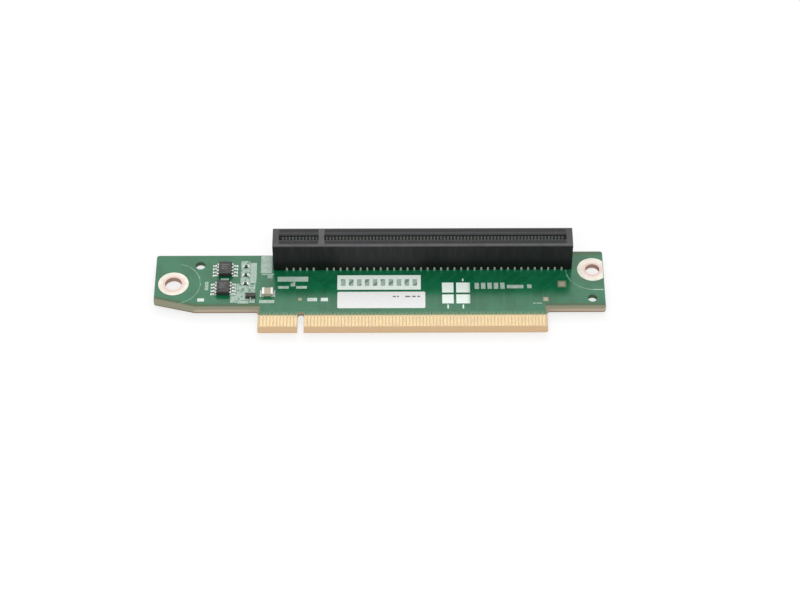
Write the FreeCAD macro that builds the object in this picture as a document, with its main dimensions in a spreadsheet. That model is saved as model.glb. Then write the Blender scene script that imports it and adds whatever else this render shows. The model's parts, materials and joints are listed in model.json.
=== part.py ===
import FreeCAD, Part
import math
import os
import Sketcher

# Riser card: a board with an edge tongue below and one card slot standing on its face.
# Frame, in millimetres: X along the board, Y from the tongue's tip to the far edge, Z up.
# The origin is under the middle of the card, level with the tips of the slot's two pegs,
# which are the lowest points when the card lies on its back.

Vector = FreeCAD.Vector

# ---------------------------------------------------------------- sizes

SIZES = {
    # board outline
    "board_length": 133.6,
    "board_depth": 31.0,
    "board_thickness": 1.57,
    "left_wing": 31.0,
    "left_edge_drop": 1.3,
    "left_edge_step": 1.3,
    "taper_run": 12.2,
    "taper_rise": 3.2,
    "corner_radius": 0.8,
    "shoulder_radius": 1.0,
    # tongue
    "tongue_height": 8.25,
    "tongue_short": 11.65,
    "tongue_long": 71.65,
    "tongue_corner": 0.5,
    "key_gap": 1.9,
    "key_depth": 7.2,
    "bevel_run": 1.6,
    "bevel_depth": 0.47,
    # gold contacts on the tongue
    "finger_pitch": 1.0,
    "finger_width": 0.7,
    "finger_length": 4.15,
    "finger_edge": 1.1,
    "finger_key_edge": 0.55,
    "skin": 0.05,
    # mounting holes
    "left_bore": 5.0,
    "left_hole_inset": 5.5,
    "left_hole_height": 18.4,
    "right_bore": 4.2,
    "right_hole_inset": 3.3,
    "right_hole_height": 23.7,
    "ring_diameter": 9.05,
    "ring_margin": 0.15,
    "ring_thickness": 0.06,
    # tooling holes
    "left_tool_bore": 3.0,
    "left_tool_inset": 13.2,
    "left_tool_height": 25.7,
    "right_tool_bore": 2.8,
    "right_tool_inset": 3.8,
    "right_tool_height": 12.4,
    # slot housing
    "slot_inset": 35.1,
    "slot_margin": 0.45,
    "slot_width": 7.1,
    "slot_height": 11.25,
    "end_wall": 1.9,
    "cavity_short": 11.775,
    "cavity_long": 71.775,
    "key_bar": 1.65,
    "slot_gap": 1.75,
    "slot_floor": 2.3,
    "lead_in": 0.55,
    "rim_chamfer": 0.3,
    "channel_width": 0.7,
    "channel_depth": 1.35,
    "channel_lap": 0.1,
    "channel_roof": 0.9,
    "foot_gap": 0.4,
    "foot_length": 1.6,
    "foot_inset": 0.8,
    "notch_width": 0.9,
    "notch_height": 1.1,
    "peg_diameter": 2.3,
    "peg_fit": 0.1,
    "peg_projection": 1.3,
    "peg_chamfer": 0.3,
    "right_peg_inset": 1.35,
    # slot contacts and their joints
    "pin_pitch": 1.0,
    "first_pin": 1.1,
    "key_pin": 0.675,
    "inner_row": 1.25,
    "outer_row": 3.25,
    "contact_width": 0.5,
    "contact_strip": 0.22,
    "wipe": 0.62,
    "waist": 1.7,
    "shoulder_rise": 3.2,
    "tip_set": 1.15,
    "tip_drop": 0.35,
    "bump_drop": 1.6,
    "jog_height": 0.95,
    "tail_projection": 0.9,
    "pin_bore": 0.75,
    "pin_land": 1.4,
    "joint_width": 1.3,
    "joint_tip": 0.75,
    "joint_height": 0.65,
    # eight-lead chips
    "chip_width": 3.9,
    "chip_length": 4.9,
    "chip_clearance": 0.15,
    "chip_body": 1.45,
    "chip_draft": 8,
    "chip_lead_span": 6.0,
    "chip_lead_pitch": 1.27,
    "chip_lead_width": 0.42,
    "chip_lead_strip": 0.2,
    "chip_foot": 0.6,
    "chip_land_in": 0.25,
    "chip_land_out": 0.7,
    "chip_land_width": 0.75,
    "chip_1_inset": 20.75,
    "chip_1_height": 23.5,
    "chip_2_inset": 20.4,
    "chip_2_height": 16.1,
    "dimple": 0.7,
    "dimple_depth": 0.1,
    "dimple_inset": 0.85,
    # capacitor
    "capacitor_inset": 33.6,
    "capacitor_height": 14.5,
    "capacitor_length": 3.2,
    "capacitor_width": 2.5,
    "capacitor_rise": 1.3,
    "capacitor_band": 0.65,
    "capacitor_land": 0.6,
    # resistors in a column
    "resistor_inset": 26.9,
    "resistor_height": 25.1,
    "resistor_pitch": 3.4,
    "resistor_count": 3,
    "resistor_length": 1.6,
    "resistor_width": 0.8,
    "resistor_rise": 0.45,
    "resistor_band": 0.35,
    "resistor_land": 0.4,
    # three-lead part
    "transistor_inset": 28.6,
    "transistor_height": 13.2,
    "transistor_length": 2.9,
    "transistor_width": 1.3,
    "transistor_rise": 0.95,
    "transistor_clearance": 0.1,
    "transistor_lead_span": 2.4,
    "transistor_lead_pitch": 1.9,
    "transistor_lead_width": 0.42,
    "transistor_strip": 0.12,
    "transistor_land": 0.35,
    "end_shrink": 0.04,
    # paper label
    "label_inset": 54.3,
    "label_height": 8.6,
    "label_length": 26.0,
    "label_width": 6.4,
    "label_corner": 0.5,
    "paper": 0.1,
    # printed title box with its row of blank blocks
    "title_inset": 54.2,
    "title_height": 15.9,
    "title_length": 24.8,
    "title_width": 5.7,
    "title_block": 1.35,
    "title_block_width": 2.7,
    "title_margin": 1.1,
    "title_blocks": 10,
    # group of four printed squares
    "squares_inset": 85.3,
    "squares_height": 10.4,
    "square_left": 3.4,
    "square_right": 4.1,
    "square_lower": 3.5,
    "square_upper": 3.9,
    "square_gap": 0.8,
    # printed arcs round the mounting holes
    "arc_radius": 8.0,
    "line_width": 0.35,
    "arc_start": 2.2,
}

# Printed bars: inset from the board's left edge, height over the tip, length and width.
BARS = {
    "corner_field": (31.3, 22.6, 3.3, 6.9),
    "slot_line": (31.6, 21.9, 3.6, 0.4),
    "chip_bar": (19.5, 19.7, 2.4, 0.8),
    "column_field": (28.2, 18.6, 1.9, 8.1),
    "base_field": (24.8, 10.6, 3.2, 1.0),
    "capacitor_bar": (31.2, 10.7, 4.5, 1.2),
    "mark_field": (36.4, 19.2, 9.1, 1.9),
    "mark_left": (36.6, 16.4, 3.2, 1.0),
    "mark_right": (42.0, 16.4, 3.2, 1.0),
    "dash_1": (45.4, 11.4, 2.9, 1.3),
    "dash_2": (49.4, 11.4, 2.1, 1.3),
    "tick_1": (86.8, 8.4, 0.4, 1.5),
    "tick_2": (91.3, 8.4, 0.4, 1.5),
    "tick_3": (91.3, 19.2, 0.4, 0.9),
    "name_bar_1": (95.0, 16.1, 1.3, 2.4),
    "name_bar_2": (96.9, 16.1, 1.3, 2.4),
    "name_bar_3": (98.8, 16.1, 1.3, 2.4),
    "name_bar_4": (100.7, 16.1, 1.3, 2.4),
    "name_bar_5": (102.6, 16.1, 1.3, 2.4),
    "revision_bar": (104.6, 16.3, 4.9, 1.3),
    "revision_dot": (110.6, 16.3, 1.3, 1.5),
    "edge_line": (130.35, 15.53, 2.9, 0.35),
}

# Bare tinned test pads: inset from the left edge, height over the tip, length and width.
TEST_PADS = {
    "left_pad": (12.9, 11.4, 2.0, 1.2),
    "middle_pad": (42.6, 11.5, 1.3, 1.3),
    "square_pad": (119.6, 16.6, 2.7, 2.7),
    "small_pad": (115.0, 11.0, 1.9, 1.9),
}

doc = FreeCAD.newDocument("RiserCard")
sheet = doc.addObject("Spreadsheet::Sheet", "Sizes")
next_row = 1


def add_size(name, value):
    """Put one named plain number in the sheet."""
    global next_row
    sheet.set("A%d" % next_row, name)
    sheet.set("B%d" % next_row, str(value))
    sheet.setAlias("B%d" % next_row, name)
    next_row += 1


for size_name, size_value in SIZES.items():
    add_size(size_name, size_value)
for table in (BARS, TEST_PADS):
    for mark, numbers in table.items():
        for suffix, number in zip(("inset", "height", "length", "width"), numbers):
            add_size("%s_%s" % (mark, suffix), number)
doc.recompute()

# ---------------------------------------------------------------- expressions


def sized(text):
    """Write a formula of size names as an expression on the sheet."""
    words = []
    word = ""
    for letter in text + " ":
        if letter.isalnum() or letter == "_":
            word += letter
            continue
        if word:
            is_size = sheet.getCellFromAlias(word) is not None
            words.append("Sizes." + word if is_size else word)
        word = ""
        words.append(letter)
    return "(" + "".join(words).strip() + ")"


def value(expression):
    """Work an expression out as a plain number."""
    return float(sheet.evalExpression(expression))


LEFT = sized("0 - board_length / 2")
RIGHT = sized("board_length / 2")
TIP = sized("0 - board_depth / 2")
FAR_EDGE = sized("board_depth / 2")
LEFT_FAR_EDGE = FAR_EDGE + " - " + sized("left_edge_drop")
BACK = sized("peg_projection")
FACE = sized("peg_projection + board_thickness")
SHOULDER = TIP + " + " + sized("tongue_height")
TONGUE_LEFT = LEFT + " + " + sized("left_wing")
KEY_LEFT = TONGUE_LEFT + " + " + sized("tongue_short")
KEY_RIGHT = KEY_LEFT + " + " + sized("key_gap")
TONGUE_RIGHT = KEY_RIGHT + " + " + sized("tongue_long")
FINGER_START = TIP + " + " + sized("bevel_run")
FINGER_END = FINGER_START + " + " + sized("finger_length")

SLOT_LEFT = LEFT + " + " + sized("slot_inset")
CAVITY_LEFT = SLOT_LEFT + " + " + sized("end_wall")
BAR_LEFT = CAVITY_LEFT + " + " + sized("cavity_short")
BAR_RIGHT = BAR_LEFT + " + " + sized("key_bar")
CAVITY_RIGHT = BAR_RIGHT + " + " + sized("cavity_long")
SLOT_RIGHT = CAVITY_RIGHT + " + " + sized("end_wall")
SLOT_BACK = FAR_EDGE + " - " + sized("slot_margin")
SLOT_FRONT = SLOT_BACK + " - " + sized("slot_width")
SLOT_MIDDLE = SLOT_BACK + " - " + sized("slot_width / 2")
SLOT_BASE = FACE + " + " + sized("foot_gap")
SLOT_TOP = FACE + " + " + sized("slot_height")
LEFT_PEG = BAR_LEFT + " + " + sized("key_bar / 2")
RIGHT_PEG = SLOT_RIGHT + " - " + sized("right_peg_inset")

LEFT_HOLE = (LEFT + " + " + sized("left_hole_inset"), TIP + " + " + sized("left_hole_height"))
RIGHT_HOLE = (RIGHT + " - " + sized("right_hole_inset"), TIP + " + " + sized("right_hole_height"))
LEFT_TOOL = (LEFT + " + " + sized("left_tool_inset"), TIP + " + " + sized("left_tool_height"))
RIGHT_TOOL = (RIGHT + " - " + sized("right_tool_inset"), TIP + " + " + sized("right_tool_height"))
PEGS = ((LEFT_PEG, SLOT_MIDDLE), (RIGHT_PEG, SLOT_MIDDLE))

# Contacts stand at one pitch on each side of the key; odd ones have their tails in the
# inner rows and even ones in the outer rows, so that a row's pitch is twice the contacts'.
FIRST_PIN = CAVITY_LEFT + " + " + sized("first_pin")
LONG_PIN = BAR_RIGHT + " + " + sized("key_pin")
SHORT_COUNT = "(floor(" + sized("(cavity_short - first_pin - key_pin) / pin_pitch + 0.01") + ") + 1)"
LONG_COUNT = "(floor(" + sized("(cavity_long - first_pin - key_pin) / pin_pitch + 0.01") + ") + 1)"
ROW_PITCH = sized("2 * pin_pitch")
INNER_GROUPS = (
    ("short", FIRST_PIN, "floor((%s + 1) / 2)" % SHORT_COUNT),
    ("long", LONG_PIN + " + " + sized("pin_pitch"), "floor(%s / 2)" % LONG_COUNT),
)
OUTER_GROUPS = (
    ("short", FIRST_PIN + " + " + sized("pin_pitch"), "floor(%s / 2)" % SHORT_COUNT),
    ("long", LONG_PIN, "floor((%s + 1) / 2)" % LONG_COUNT),
)
ALL_GROUPS = (("short", FIRST_PIN, SHORT_COUNT), ("long", LONG_PIN, LONG_COUNT))


def moved(start, distance):
    """Add a formula of sizes to an expression."""
    return start + " + " + sized(distance)


def opposite(expression):
    """Turn an expression's sign."""
    return "0 - (" + expression + ")"


# ---------------------------------------------------------------- sketches and features

PARTS = []


def new_body(label):
    """Start a sub-part."""
    body = new_blank(label)
    PARTS.append(body)
    return body


def new_blank(label):
    """Start a body that is only a step towards a sub-part."""
    body = doc.addObject("PartDesign::Body", label)
    body.Label = label
    return body


def cut_away(label, block, tools):
    """Make a sub-part by cutting tool bodies out of a block one after another."""
    for number, tool in enumerate(tools, 1):
        last = number == len(tools)
        cut = doc.addObject("Part::Cut", label if last else "%s_stage_%d" % (label, number))
        cut.Base = block
        cut.Tool = tool
        block = cut
    block.Label = label
    PARTS.append(block)


def origin_feature(body, role):
    """Find one of a body's own origin planes or axes."""
    return [item for item in body.Origin.OriginFeatures if item.Role == role][0]


def new_sketch(body, name, role, level):
    """Start a sketch on an origin plane, raised to a level along the plane's normal."""
    sketch = body.newObject("Sketcher::SketchObject", name)
    sketch.AttachmentSupport = (origin_feature(body, role), [""])
    sketch.MapMode = "FlatFace"
    sketch.setExpression("AttachmentOffset.Base.z", level)
    return sketch


def pin_point(sketch, element, point, x, y):
    """Hold a sketch point at two expressions measured from the origin."""
    for kind, expression in (("DistanceX", x), ("DistanceY", y)):
        limit = Sketcher.Constraint(kind, -1, 1, element, point, value(expression))
        number = sketch.addConstraint(limit)
        sketch.setExpression("Constraints[%d]" % number, expression)


def add_polygon(sketch, corners):
    """Draw a closed outline through corners given as pairs of expressions."""
    first = sketch.GeometryCount
    spots = [Vector(value(x), value(y), 0) for x, y in corners]
    count = len(corners)
    for index in range(count):
        side = Part.LineSegment(spots[index], spots[(index + 1) % count])
        sketch.addGeometry(side, False)
    for index in range(count):
        following = first + (index + 1) % count
        sketch.addConstraint(Sketcher.Constraint("Coincident", first + index, 2, following, 1))
    for index, (x, y) in enumerate(corners):
        pin_point(sketch, first + index, 1, x, y)


def add_rectangle(sketch, x0, y0, x1, y1):
    """Draw a rectangle between two corners."""
    add_polygon(sketch, ((x0, y0), (x1, y0), (x1, y1), (x0, y1)))


def add_circle(sketch, centre, diameter):
    """Draw a circle with its centre and diameter given as expressions."""
    x, y = centre
    spot = Vector(value(x), value(y), 0)
    ring = Part.Circle(spot, Vector(0, 0, 1), value(diameter) / 2)
    element = sketch.addGeometry(ring, False)
    pin_point(sketch, element, 3, x, y)
    number = sketch.addConstraint(Sketcher.Constraint("Diameter", element, value(diameter)))
    sketch.setExpression("Constraints[%d]" % number, diameter)


def make_pad(body, sketch, length, reverse=False, taper=None):
    """Raise a sketch into a solid, with walls that lean by a taper if one is given."""
    pad = body.newObject("PartDesign::Pad", sketch.Name + "_pad")
    pad.Profile = sketch
    pad.Reversed = reverse
    pad.setExpression("Length", length)
    if taper:
        pad.setExpression("TaperAngle", taper)
    body.Tip = pad
    return pad


def add_axis(sketch, start, end):
    """Draw the line that a sketch is spun about."""
    spots = [Vector(value(x), value(y), 0) for x, y in (start, end)]
    line = sketch.addGeometry(Part.LineSegment(*spots), True)
    pin_point(sketch, line, 1, *start)
    pin_point(sketch, line, 2, *end)


def spin(body, sketch):
    """Spin a sketch a full turn about its own axis line."""
    turn = body.newObject("PartDesign::Revolution", sketch.Name + "_turn")
    turn.Profile = sketch
    turn.ReferenceAxis = (sketch, ["Axis0"])
    turn.Angle = 360
    body.Tip = turn
    return turn


def make_pocket(body, sketch, length, reverse=False):
    """Sink a sketch into the solid, against its normal unless reversed."""
    pocket = body.newObject("PartDesign::Pocket", sketch.Name + "_pocket")
    pocket.Profile = sketch
    pocket.Reversed = reverse
    pocket.setExpression("Length", length)
    body.Tip = pocket
    return pocket


def repeat(body, feature, role, pitch, count):
    """Repeat a feature along one of the body's axes."""
    pattern = body.newObject("PartDesign::LinearPattern", feature.Name + "_row")
    pattern.Originals = [feature]
    pattern.Direction = (origin_feature(body, role), [""])
    pattern.setExpression("Length", "(%s - 1) * %s" % (count, pitch))
    pattern.setExpression("Occurrences", count)
    body.Tip = pattern
    return pattern


def cut_through(body, sketch):
    """Cut a sketch right through the board from its face."""
    return make_pocket(body, sketch, sized("board_thickness * 2"))


def upright_edges(shape, spots):
    """Name the upright edges that stand at the given places."""
    names = []
    for number, edge in enumerate(shape.Edges, 1):
        ends = [vertex.Point for vertex in edge.Vertexes]
        for x, y in spots:
            if all(math.hypot(end.x - value(x), end.y - value(y)) < 0.001 for end in ends):
                names.append("Edge%d" % number)
    return names


def top_edges(shape):
    """Name the edges that bound a solid's top."""
    top = shape.BoundBox.ZMax
    names = []
    for number, edge in enumerate(shape.Edges, 1):
        if abs(edge.BoundBox.ZMin - top) < 0.001:
            names.append("Edge%d" % number)
    return names


def bottom_edges(shape):
    """Name the edges that bound a solid's lowest face or faces."""
    bottom = shape.BoundBox.ZMin
    names = []
    for number, edge in enumerate(shape.Edges, 1):
        if abs(edge.BoundBox.ZMax - bottom) < 0.001:
            names.append("Edge%d" % number)
    return names


def dress_edges(body, kind, base, names, size_property, size):
    """Fillet or chamfer the named edges of a feature."""
    dressing = body.newObject("PartDesign::" + kind, base.Name + "_" + kind.lower())
    dressing.Base = (base, names)
    dressing.setExpression(size_property, size)
    body.Tip = dressing
    return dressing


# ---------------------------------------------------------------- board


def make_board():
    """The board with its tongue, key notch, bevels and every hole through it."""
    body = new_blank("board_blank")
    step = moved(SLOT_LEFT, "left_edge_step")
    taper_top = moved(SHOULDER, "taper_rise")
    taper_end = moved(LEFT, "taper_run")
    corners = (
        (LEFT, taper_top), (taper_end, SHOULDER), (TONGUE_LEFT, SHOULDER), (TONGUE_LEFT, TIP),
        (TONGUE_RIGHT, TIP), (TONGUE_RIGHT, SHOULDER), (RIGHT, SHOULDER), (RIGHT, FAR_EDGE),
        (step, FAR_EDGE), (step, LEFT_FAR_EDGE), (LEFT, LEFT_FAR_EDGE),
    )
    outline = new_sketch(body, "board_outline", "XY_Plane", BACK)
    add_polygon(outline, corners)
    blank = make_pad(body, outline, sized("board_thickness"))
    doc.recompute()
    rounded = upright_edges(blank.Shape, (corners[0], corners[6], corners[7], corners[10]))
    outer = dress_edges(body, "Fillet", blank, rounded, "Radius", sized("corner_radius"))
    doc.recompute()
    inside = upright_edges(outer.Shape, (corners[2], corners[5]))
    inner = dress_edges(body, "Fillet", outer, inside, "Radius", sized("shoulder_radius"))
    doc.recompute()
    snouts = upright_edges(inner.Shape, (corners[3], corners[4]))
    dress_edges(body, "Chamfer", inner, snouts, "Size", sized("tongue_corner"))

    # The key notch has a round end.
    notch_centre = moved(TIP, "key_depth - key_gap / 2")
    notch = new_sketch(body, "key_notch", "XY_Plane", FACE)
    add_rectangle(notch, KEY_LEFT, moved(TIP, "0 - bevel_run"), KEY_RIGHT, notch_centre)
    cut_through(body, notch)
    notch_end = new_sketch(body, "key_notch_end", "XY_Plane", FACE)
    add_circle(notch_end, (moved(KEY_LEFT, "key_gap / 2"), notch_centre), sized("key_gap"))
    cut_through(body, notch_end)

    # Both faces are bevelled along the tip.
    for side, surface, sign in (("face", FACE, "-"), ("back", BACK, "+")):
        bevel = new_sketch(body, "bevel_" + side, "YZ_Plane", TONGUE_LEFT)
        depth = surface + " " + sign + " " + sized("bevel_depth")
        add_polygon(bevel, ((TIP, depth), (moved(TIP, "bevel_run"), surface), (TIP, surface)))
        make_pocket(body, bevel, TONGUE_RIGHT + " - (" + TONGUE_LEFT + ")", reverse=True)

    holes = new_sketch(body, "mounting_holes", "XY_Plane", FACE)
    add_circle(holes, LEFT_HOLE, sized("left_bore"))
    add_circle(holes, RIGHT_HOLE, sized("right_bore"))
    add_circle(holes, LEFT_TOOL, sized("left_tool_bore"))
    add_circle(holes, RIGHT_TOOL, sized("right_tool_bore"))
    for peg in PEGS:
        add_circle(holes, peg, sized("peg_diameter + 2 * peg_fit"))
    cut_through(body, holes)

    cut_away("circuit_board", body, [pin_bars("pin_hole", BACK, "board_thickness", "pin_bore")])


def pin_bars(name, level, length, diameter):
    """Round bars standing at every contact's tail."""
    bars = new_blank(name + "_bars")
    for row, y, groups in pin_rows():
        for group, start, count in groups:
            sketch = new_sketch(bars, "%s_%s_%s" % (name, row, group), "XY_Plane", level)
            add_circle(sketch, (start, y), sized(diameter))
            repeat(bars, make_pad(bars, sketch, sized(length)), "X_Axis", ROW_PITCH, count)
    return bars


def pin_rows():
    """Name each of the slot's four tail rows with its place and its two groups."""
    rows = []
    for side, sign in (("front", "-"), ("rear", "+")):
        for depth, groups in (("outer", OUTER_GROUPS), ("inner", INNER_GROUPS)):
            y = SLOT_MIDDLE + " " + sign + " " + sized(depth + "_row")
            rows.append(("%s_%s" % (side, depth), y, groups))
    return rows


def make_fingers():
    """The gold contacts on both faces of the tongue."""
    pitch = sized("finger_pitch")
    margins = "finger_edge - finger_key_edge) / finger_pitch + 0.01"
    short = "(floor(" + sized("(tongue_short - " + margins) + ") + 1)"
    long = "(floor(" + sized("(tongue_long - " + margins) + ") + 1)"
    groups = (
        ("short", moved(TONGUE_LEFT, "finger_edge"), short),
        ("long", moved(KEY_RIGHT, "finger_key_edge"), long),
    )
    for side, level in (("top", FACE), ("bottom", BACK)):
        body = new_body("edge_fingers_" + side)
        for group, centre, count in groups:
            sketch = new_sketch(body, "finger_%s_%s" % (side, group), "XY_Plane", level)
            left = moved(centre, "0 - finger_width / 2")
            right = moved(centre, "finger_width / 2")
            add_rectangle(sketch, left, FINGER_START, right, FINGER_END)
            finger = make_pad(body, sketch, sized("skin"), reverse=side == "bottom")
            repeat(body, finger, "X_Axis", pitch, count)


def make_rings(side, centre, bore):
    """The flat metal rings round a mounting hole, one on each face of the board."""
    body = new_body(side + "_hole_rings")
    for surface, level in (("back", BACK), ("face", FACE)):
        sketch = new_sketch(body, "%s_%s_ring" % (side, surface), "XY_Plane", level)
        add_circle(sketch, centre, sized("ring_diameter"))
        add_circle(sketch, centre, sized(bore))
        make_pad(body, sketch, sized("ring_thickness"), reverse=surface == "back")
    # A ring that would reach past the board's end stops short of it.
    trims = (("left", LEFT, "-", "+"), ("right", RIGHT, "+", "-"))
    for end, edge, outward, inward in trims:
        if end != side:
            continue
        above = moved(FACE, "2 * ring_thickness")
        trim = new_sketch(body, side + "_trim", "XY_Plane", above)
        inner = edge + " " + inward + " " + sized("ring_margin")
        outer = edge + " " + outward + " " + sized("ring_diameter")
        reach = sized("ring_diameter")
        add_rectangle(trim, inner, centre[1] + " - " + reach, outer, centre[1] + " + " + reach)
        make_pocket(body, trim, sized("board_thickness + 4 * ring_thickness"))


# ---------------------------------------------------------------- slot


def make_housing():
    """The moulded slot body: cavity with its key bar, channels, notches, feet and pegs."""
    body = new_blank("housing_block")
    outline = new_sketch(body, "housing_outline", "XY_Plane", SLOT_BASE)
    add_rectangle(outline, SLOT_LEFT, SLOT_FRONT, SLOT_RIGHT, SLOT_BACK)
    block = make_pad(body, outline, sized("slot_height - foot_gap"))
    doc.recompute()
    dress_edges(body, "Chamfer", block, top_edges(block.Shape), "Size", sized("rim_chamfer"))

    cavity = new_sketch(body, "cavity", "XY_Plane", SLOT_TOP)
    near = SLOT_MIDDLE + " - " + sized("slot_gap / 2")
    far = SLOT_MIDDLE + " + " + sized("slot_gap / 2")
    add_rectangle(cavity, CAVITY_LEFT, near, BAR_LEFT, far)
    add_rectangle(cavity, BAR_RIGHT, near, CAVITY_RIGHT, far)
    make_pocket(body, cavity, sized("slot_height - foot_gap - slot_floor"))

    # The cavity's mouth is flared to lead a card in.
    mouth = sized("slot_gap / 2 + lead_in")
    throat = sized("slot_gap / 2")
    flare_foot = SLOT_TOP + " - " + sized("lead_in")
    flares = (
        ("short", CAVITY_LEFT, sized("cavity_short")),
        ("long", BAR_RIGHT, sized("cavity_long")),
    )
    for group, start, length in flares:
        flare = new_sketch(body, "flare_" + group, "YZ_Plane", start)
        add_polygon(flare, (
            (SLOT_MIDDLE + " - " + throat, flare_foot), (SLOT_MIDDLE + " + " + throat, flare_foot),
            (SLOT_MIDDLE + " + " + mouth, SLOT_TOP), (SLOT_MIDDLE + " - " + mouth, SLOT_TOP),
        ))
        make_pocket(body, flare, length, reverse=True)

    feet = new_sketch(body, "feet", "XY_Plane", FACE)
    near = moved(SLOT_FRONT, "foot_inset")
    far = SLOT_BACK + " - " + sized("foot_inset")
    add_rectangle(feet, SLOT_LEFT, near, moved(SLOT_LEFT, "foot_length"), far)
    add_rectangle(feet, moved(SLOT_RIGHT, "0 - foot_length"), near, SLOT_RIGHT, far)
    make_pad(body, feet, sized("foot_gap"))

    pegs = new_sketch(body, "pegs", "XY_Plane", "0")
    for peg in PEGS:
        add_circle(pegs, peg, sized("peg_diameter"))
    shanks = make_pad(body, pegs, SLOT_BASE)
    doc.recompute()
    ends = bottom_edges(shanks.Shape)
    dress_edges(body, "Chamfer", shanks, ends, "Size", sized("peg_chamfer"))

    # Each contact has a channel open to the cavity, through the floor and under a roof, and
    # the outer tails leave through notches in the foot of both long walls.
    wall = "slot_gap / 2 + channel_depth"
    channels = comb(
        ALL_GROUPS, "pin_pitch", "channel_width", "slot_gap / 2 - channel_lap", wall,
        "slot_height - foot_gap - channel_roof")
    notches = comb(
        OUTER_GROUPS, "2 * pin_pitch", "notch_width", wall + " - channel_lap", "slot_width",
        "notch_height")
    housing = doc.addObject("Part::Feature", "slot_housing")
    housing.Label = "slot_housing"
    doc.recompute()
    housing.Shape = bare(body.Shape).cut(channels + notches)
    PARTS.append(housing)


def bare(shape):
    """Copy a solid without its features' face names, which slow a cut with many tools."""
    return Part.Solid(Part.Shell([face.copy() for face in shape.Faces]))


def comb(groups, pitch, width, near, far, rise):
    """Upright boxes for a row of like cuts in both long walls, standing on the base."""
    size = Vector(value(sized(width)), value(sized(far)) - value(sized(near)), value(sized(rise)))
    front = value(SLOT_MIDDLE) - value(sized(far))
    rear = value(SLOT_MIDDLE) + value(sized(near))
    boxes = []
    for _, start, count in groups:
        for number in range(int(value(count))):
            x = value(start) + number * value(sized(pitch)) - size.x / 2
            for y in (front, rear):
                corner = Vector(x, y, value(SLOT_BASE))
                boxes.append(Part.makeBox(size.x, size.y, size.z, corner))
    return boxes


def contact_profile(sign, row):
    """One spring contact seen from the end: tail, waist, wiping bump and tip."""
    tail = moved(BACK, "0 - tail_projection")
    jog = moved(FACE, "jog_height")
    waist = moved(FACE, "shoulder_rise")
    bump = SLOT_TOP + " - " + sized("channel_roof + bump_drop")
    tip = SLOT_TOP + " - " + sized("channel_roof + tip_drop")

    def at(distance):
        """A place across the slot, measured outwards from its middle plane."""
        return SLOT_MIDDLE + " " + sign + " " + sized(distance)

    half = "contact_strip / 2"
    spring = (
        (at("waist + " + half), waist), (at("wipe + contact_strip * 1.2"), bump),
        (at("tip_set + contact_strip"), tip), (at("tip_set"), tip),
        (at("wipe"), bump), (at("waist - " + half), waist),
    )
    if row == "inner":
        start = ((at("inner_row + " + half), tail), (at("inner_row + " + half), jog))
        end = ((at("inner_row - " + half), jog), (at("inner_row - " + half), tail))
        return start + spring + end
    over = moved(jog, "contact_strip")
    start = (
        (at("outer_row + " + half), tail), (at("outer_row + " + half), over),
        (at("waist + " + half), over),
    )
    end = (
        (at("waist - " + half), jog), (at("outer_row - " + half), jog),
        (at("outer_row - " + half), tail),
    )
    return start + spring + end


def make_contacts():
    """The four rows of spring contacts."""
    for side, sign in (("front", "-"), ("rear", "+")):
        for row, groups in (("outer", OUTER_GROUPS), ("inner", INNER_GROUPS)):
            body = new_body("slot_contacts_%s_%s" % (side, row))
            for group, start, count in groups:
                name = "contact_%s_%s_%s" % (side, row, group)
                level = moved(start, "0 - contact_width / 2")
                sketch = new_sketch(body, name, "YZ_Plane", level)
                add_polygon(sketch, contact_profile(sign, row))
                strip = make_pad(body, sketch, sized("contact_width"))
                repeat(body, strip, "X_Axis", ROW_PITCH, count)


def make_joints():
    """The lands round the tails on the face and the solder cones on the back."""
    lands = new_body("slot_pin_pads")
    for row, y, groups in pin_rows():
        for group, start, count in groups:
            land = new_sketch(lands, "land_%s_%s" % (row, group), "XY_Plane", FACE)
            add_circle(land, (start, y), sized("pin_land"))
            add_circle(land, (start, y), sized("pin_bore"))
            ring = make_pad(lands, land, sized("skin"))
            repeat(lands, ring, "X_Axis", ROW_PITCH, count)

    cones = new_body("slot_solder_joints")
    cone_tip = BACK + " - " + sized("joint_height")
    corner = "sqrt(" + sized("contact_width ^ 2 + contact_strip ^ 2") + ") / 2"
    for row, y, groups in pin_rows():
        for group, start, count in groups:
            cone = new_sketch(cones, "joint_%s_%s" % (row, group), "XZ_Plane", opposite(y))
            add_axis(cone, (start, BACK), (start, cone_tip))
            bore = start + " + " + corner
            add_polygon(cone, (
                (bore, BACK), (moved(start, "joint_width / 2"), BACK),
                (moved(start, "joint_tip / 2"), cone_tip), (bore, cone_tip),
            ))
            repeat(cones, spin(cones, cone), "X_Axis", ROW_PITCH, count)


# ---------------------------------------------------------------- small parts


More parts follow.
